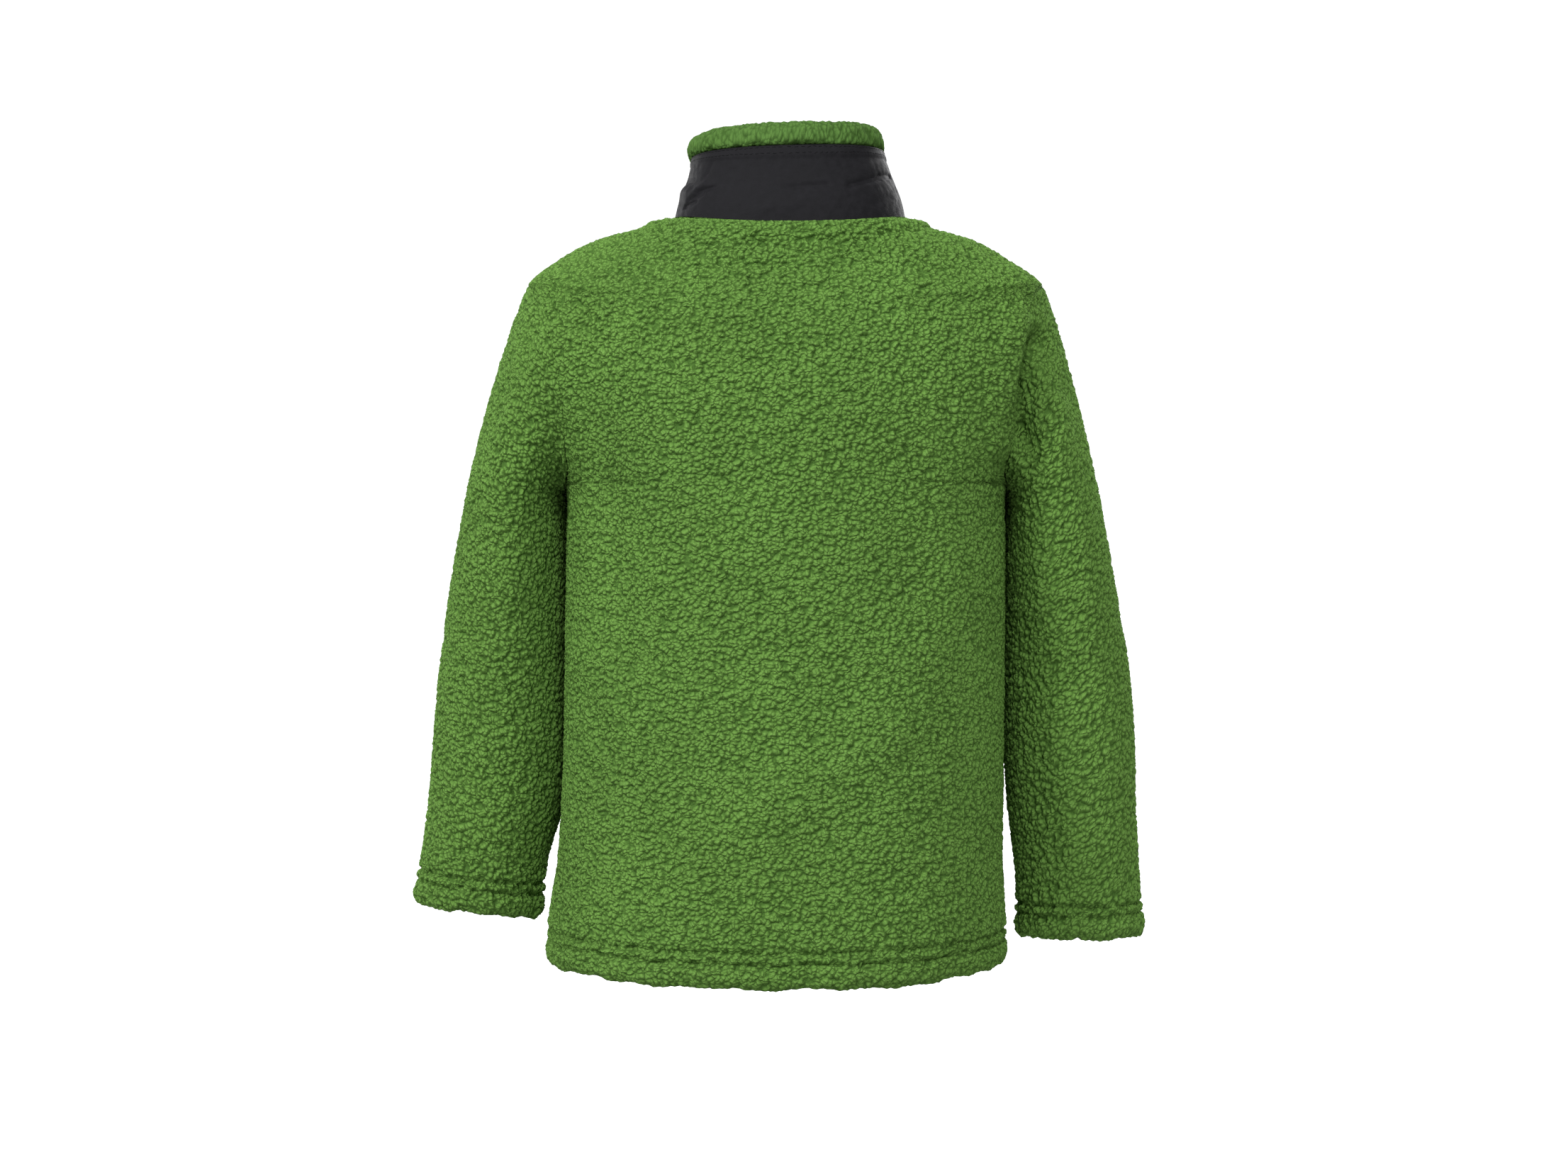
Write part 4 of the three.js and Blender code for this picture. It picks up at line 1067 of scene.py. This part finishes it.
def threadMaterial():
    made, tree, shader = newMaterial("black_thread_with_painted_shade")
    strand = noise(tree, restPlace(tree), 2600.0).outputs[0]
    # near-black thread made darker than the nylon so the stitches stand in for the shade in their holes: the
    # thread's own black deepened by painted shade
    shade = ramp(tree, strand, (0.3, (0.002, 0.002, 0.0024, 1)), (0.7, (0.008, 0.008, 0.009, 1)))
    finish(tree, shader, shade, strand, 0.6, 0.0002, roughness=0.7, specular=0.1)
    return made


def tapeMaterial():  # a herringbone weave along the tape
    made, tree, shader = newMaterial("herringbone_tape")
    place = restPlace(tree)
    parts = addNode(tree, "ShaderNodeSeparateXYZ", {"Vector": place})
    zigzag = maths(tree, "PINGPONG", parts.outputs["X"], 0.0016)
    slant = maths(tree, "MULTIPLY_ADD", zigzag, 1.2, parts.outputs["Z"])
    height = spread(tree, maths(tree, "PINGPONG", slant, 0.00045), 0.0, 1.0, 0.0, 0.00045)
    total = maths(tree, "MULTIPLY_ADD", noise(tree, place, 900.0).outputs[0], 0.35, height)
    # darker in the weave's hollows and lighter on its ridges, from the same height as the bump: painted shade
    # and light, with the noise adding random tone
    shade = ramp(tree, total, (0.1, (0.006, 0.006, 0.007, 1)), (1.0, (0.026, 0.026, 0.029, 1)))
    finish(tree, shader, shade, total, 0.8, 0.00025, roughness=0.8, specular=0.2)
    return made


def mouldedMaterial():
    made, tree, shader = newMaterial("black_moulded_teeth")
    place = addNode(tree, "ShaderNodeTexCoord").outputs["Object"]
    mottle = noise(tree, place, 1500.0, 3.0).outputs[0]
    shade = ramp(tree, mottle, (0.3, (0.010, 0.010, 0.011, 1)), (0.8, (0.020, 0.020, 0.022, 1)))
    rough = spread(tree, mottle, 0.3, 0.5, 0.3, 0.7, False)
    finish(tree, shader, shade, mottle, 0.25, 0.0001, roughness=rough)
    return made


def enamelMaterial():  # black enamel on metal, rubbed through a little
    made, tree, shader = newMaterial("black_enamelled_metal")
    place = addNode(tree, "ShaderNodeTexCoord").outputs["Object"]
    rub = noise(tree, place, 700.0, 4.0, 0.7).outputs[0]
    worn = spread(tree, rub, 0.0, 1.0, 0.64, 0.78)
    shade = ramp(tree, worn, (0.0, (0.014, 0.014, 0.015, 1)), (1.0, (0.12, 0.118, 0.112, 1)))
    rough = spread(tree, rub, 0.26, 0.46, 0.3, 0.7, False)
    finish(tree, shader, shade, rub, 0.15, 0.0001, roughness=rough, metallic=spread(tree, worn, 0.25, 0.8))
    return made


print("finishes")
pieces = (  # material, record slot, body, and the pieces by the CAD node that each stands for
    (fleeceMaterial("green_fleece", fleeceLook, 1.0), "fleece", "jacket", {
        "back": backPanel,
        "front_left": leftFront,
        "front_right": rightFront,
        "sleeve_left": leftSleeve,
        "sleeve_right": rightSleeve,
    }),
    (fleeceMaterial("combed_fleece", collarLook, 0.6), "fleece", "jacket", {"collar_lining": collarLining}),
    (nylonMaterial(), "collar_nylon", "jacket", {"collar_shell": collarShell}),
    (tapeMaterial(), "zip_tape", "jacket", {"zip_tape_left": leftTape, "zip_tape_right": rightTape}),
    (mouldedMaterial(), "zip_plastic", "jacket", {"zip_chain": teeth, "zip_box": bottomBox}),
    (enamelMaterial(), "zip_metal", "jacket", {"zip_slider": slider}),
    (enamelMaterial(), "zip_metal", "pull_tab", {"zip_pull": pullTab}),
)
for coat, slot, body, made in pieces:
    for node, piece in made.items():
        piece.data.materials.append(coat)
        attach(piece, body)
        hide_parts(node)
collarStitches.data.materials.append(threadMaterial())
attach(collarStitches, "jacket")

# Room, light and camera
studio = {
    "floorZ": -0.62,
    "flatRadius": 3.2,
    "curveRadius": 2.4,
    "height": 6.5,
    "glow": 0.93,
    "sky": 0.6,
    "lights": {  # where each lamp stands, how wide it is and its power
        "key_light": ((2.1, 1.6, 1.3), 0.7, 52.0),
        "top_light": ((-0.2, 2.0, 1.8), 1.0, 42.0),
        "front_light": ((-1.4, -2.3, 1.2), 1.6, 60.0),
        "front_fill": ((1.9, -2.0, 0.3), 1.6, 30.0),
    },
}
camera = {"distance": 1.5, "height": -0.2199, "lens": 58.12}


def studioBowl():
    flat, curve = studio["flatRadius"], studio["curveRadius"]
    profile = [(0.001, 0.0), (flat * 0.5, 0.0), (flat, 0.0)]
    for k in range(1, 13):
        turn = math.pi / 2 * k / 12
        profile.append((flat + curve * math.sin(turn), curve * (1 - math.cos(turn))))
    profile.append((flat + curve, studio["height"]))
    around = 96
    points, faces = [], []
    for radius, z in profile:
        for k in range(around):
            turn = 2 * math.pi * k / around
            points.append((radius * math.cos(turn), radius * math.sin(turn), studio["floorZ"] + z))
    for i in range(len(profile) - 1):
        for k in range(around):
            a, b = i * around + k, i * around + (k + 1) % around
            faces.append((a, b, b + around, a + around))
    return meshObject("studio_floor", np.array(points), faces)


def areaLight(name, place, size, power, target=(0, 0, -0.2)):
    light = bpy.data.lights.new(name, "AREA")
    light.shape, light.size, light.energy = "DISK", size, power
    made = bpy.data.objects.new(name, light)
    made.location = place
    made.rotation_euler = (Vector(target) - Vector(place)).to_track_quat("-Z", "Y").to_euler()
    made.visible_camera = False
    scene.collection.objects.link(made)


print("studio")
bowl = studioBowl()
pale, paleTree, paleShader = newMaterial("pale_floor")
paleShader.inputs["Base Color"].default_value = (0.3, 0.3, 0.3, 1)
paleShader.inputs["Roughness"].default_value = 1.0
paleShader.inputs["Specular IOR Level"].default_value = 0.0
paleShader.inputs["Emission Color"].default_value = (1, 1, 1, 1)
paleShader.inputs["Emission Strength"].default_value = studio["glow"]
bowl.data.materials.append(pale)
bowl.visible_diffuse = bowl.visible_glossy = bowl.visible_shadow = False
world = bpy.data.worlds.new("studio_sky")
world.use_nodes = True
world.node_tree.nodes["Background"].inputs["Color"].default_value = (1, 1, 1, 1)
world.node_tree.nodes["Background"].inputs["Strength"].default_value = studio["sky"]
scene.world = world
for name, (place, size, power) in studio["lights"].items():
    areaLight(name, place, size, power)
lens = bpy.data.cameras.new("camera")
lens.lens, lens.sensor_width = camera["lens"], 36.0
lens.clip_start, lens.clip_end = 0.01, 60
eye = bpy.data.objects.new("camera", lens)
eye.location = (0, camera["distance"], camera["height"])
eye.rotation_euler = (math.pi / 2, 0, math.pi)
scene.collection.objects.link(eye)
scene.camera = eye
scene.view_settings.view_transform = "Standard"

print("done")
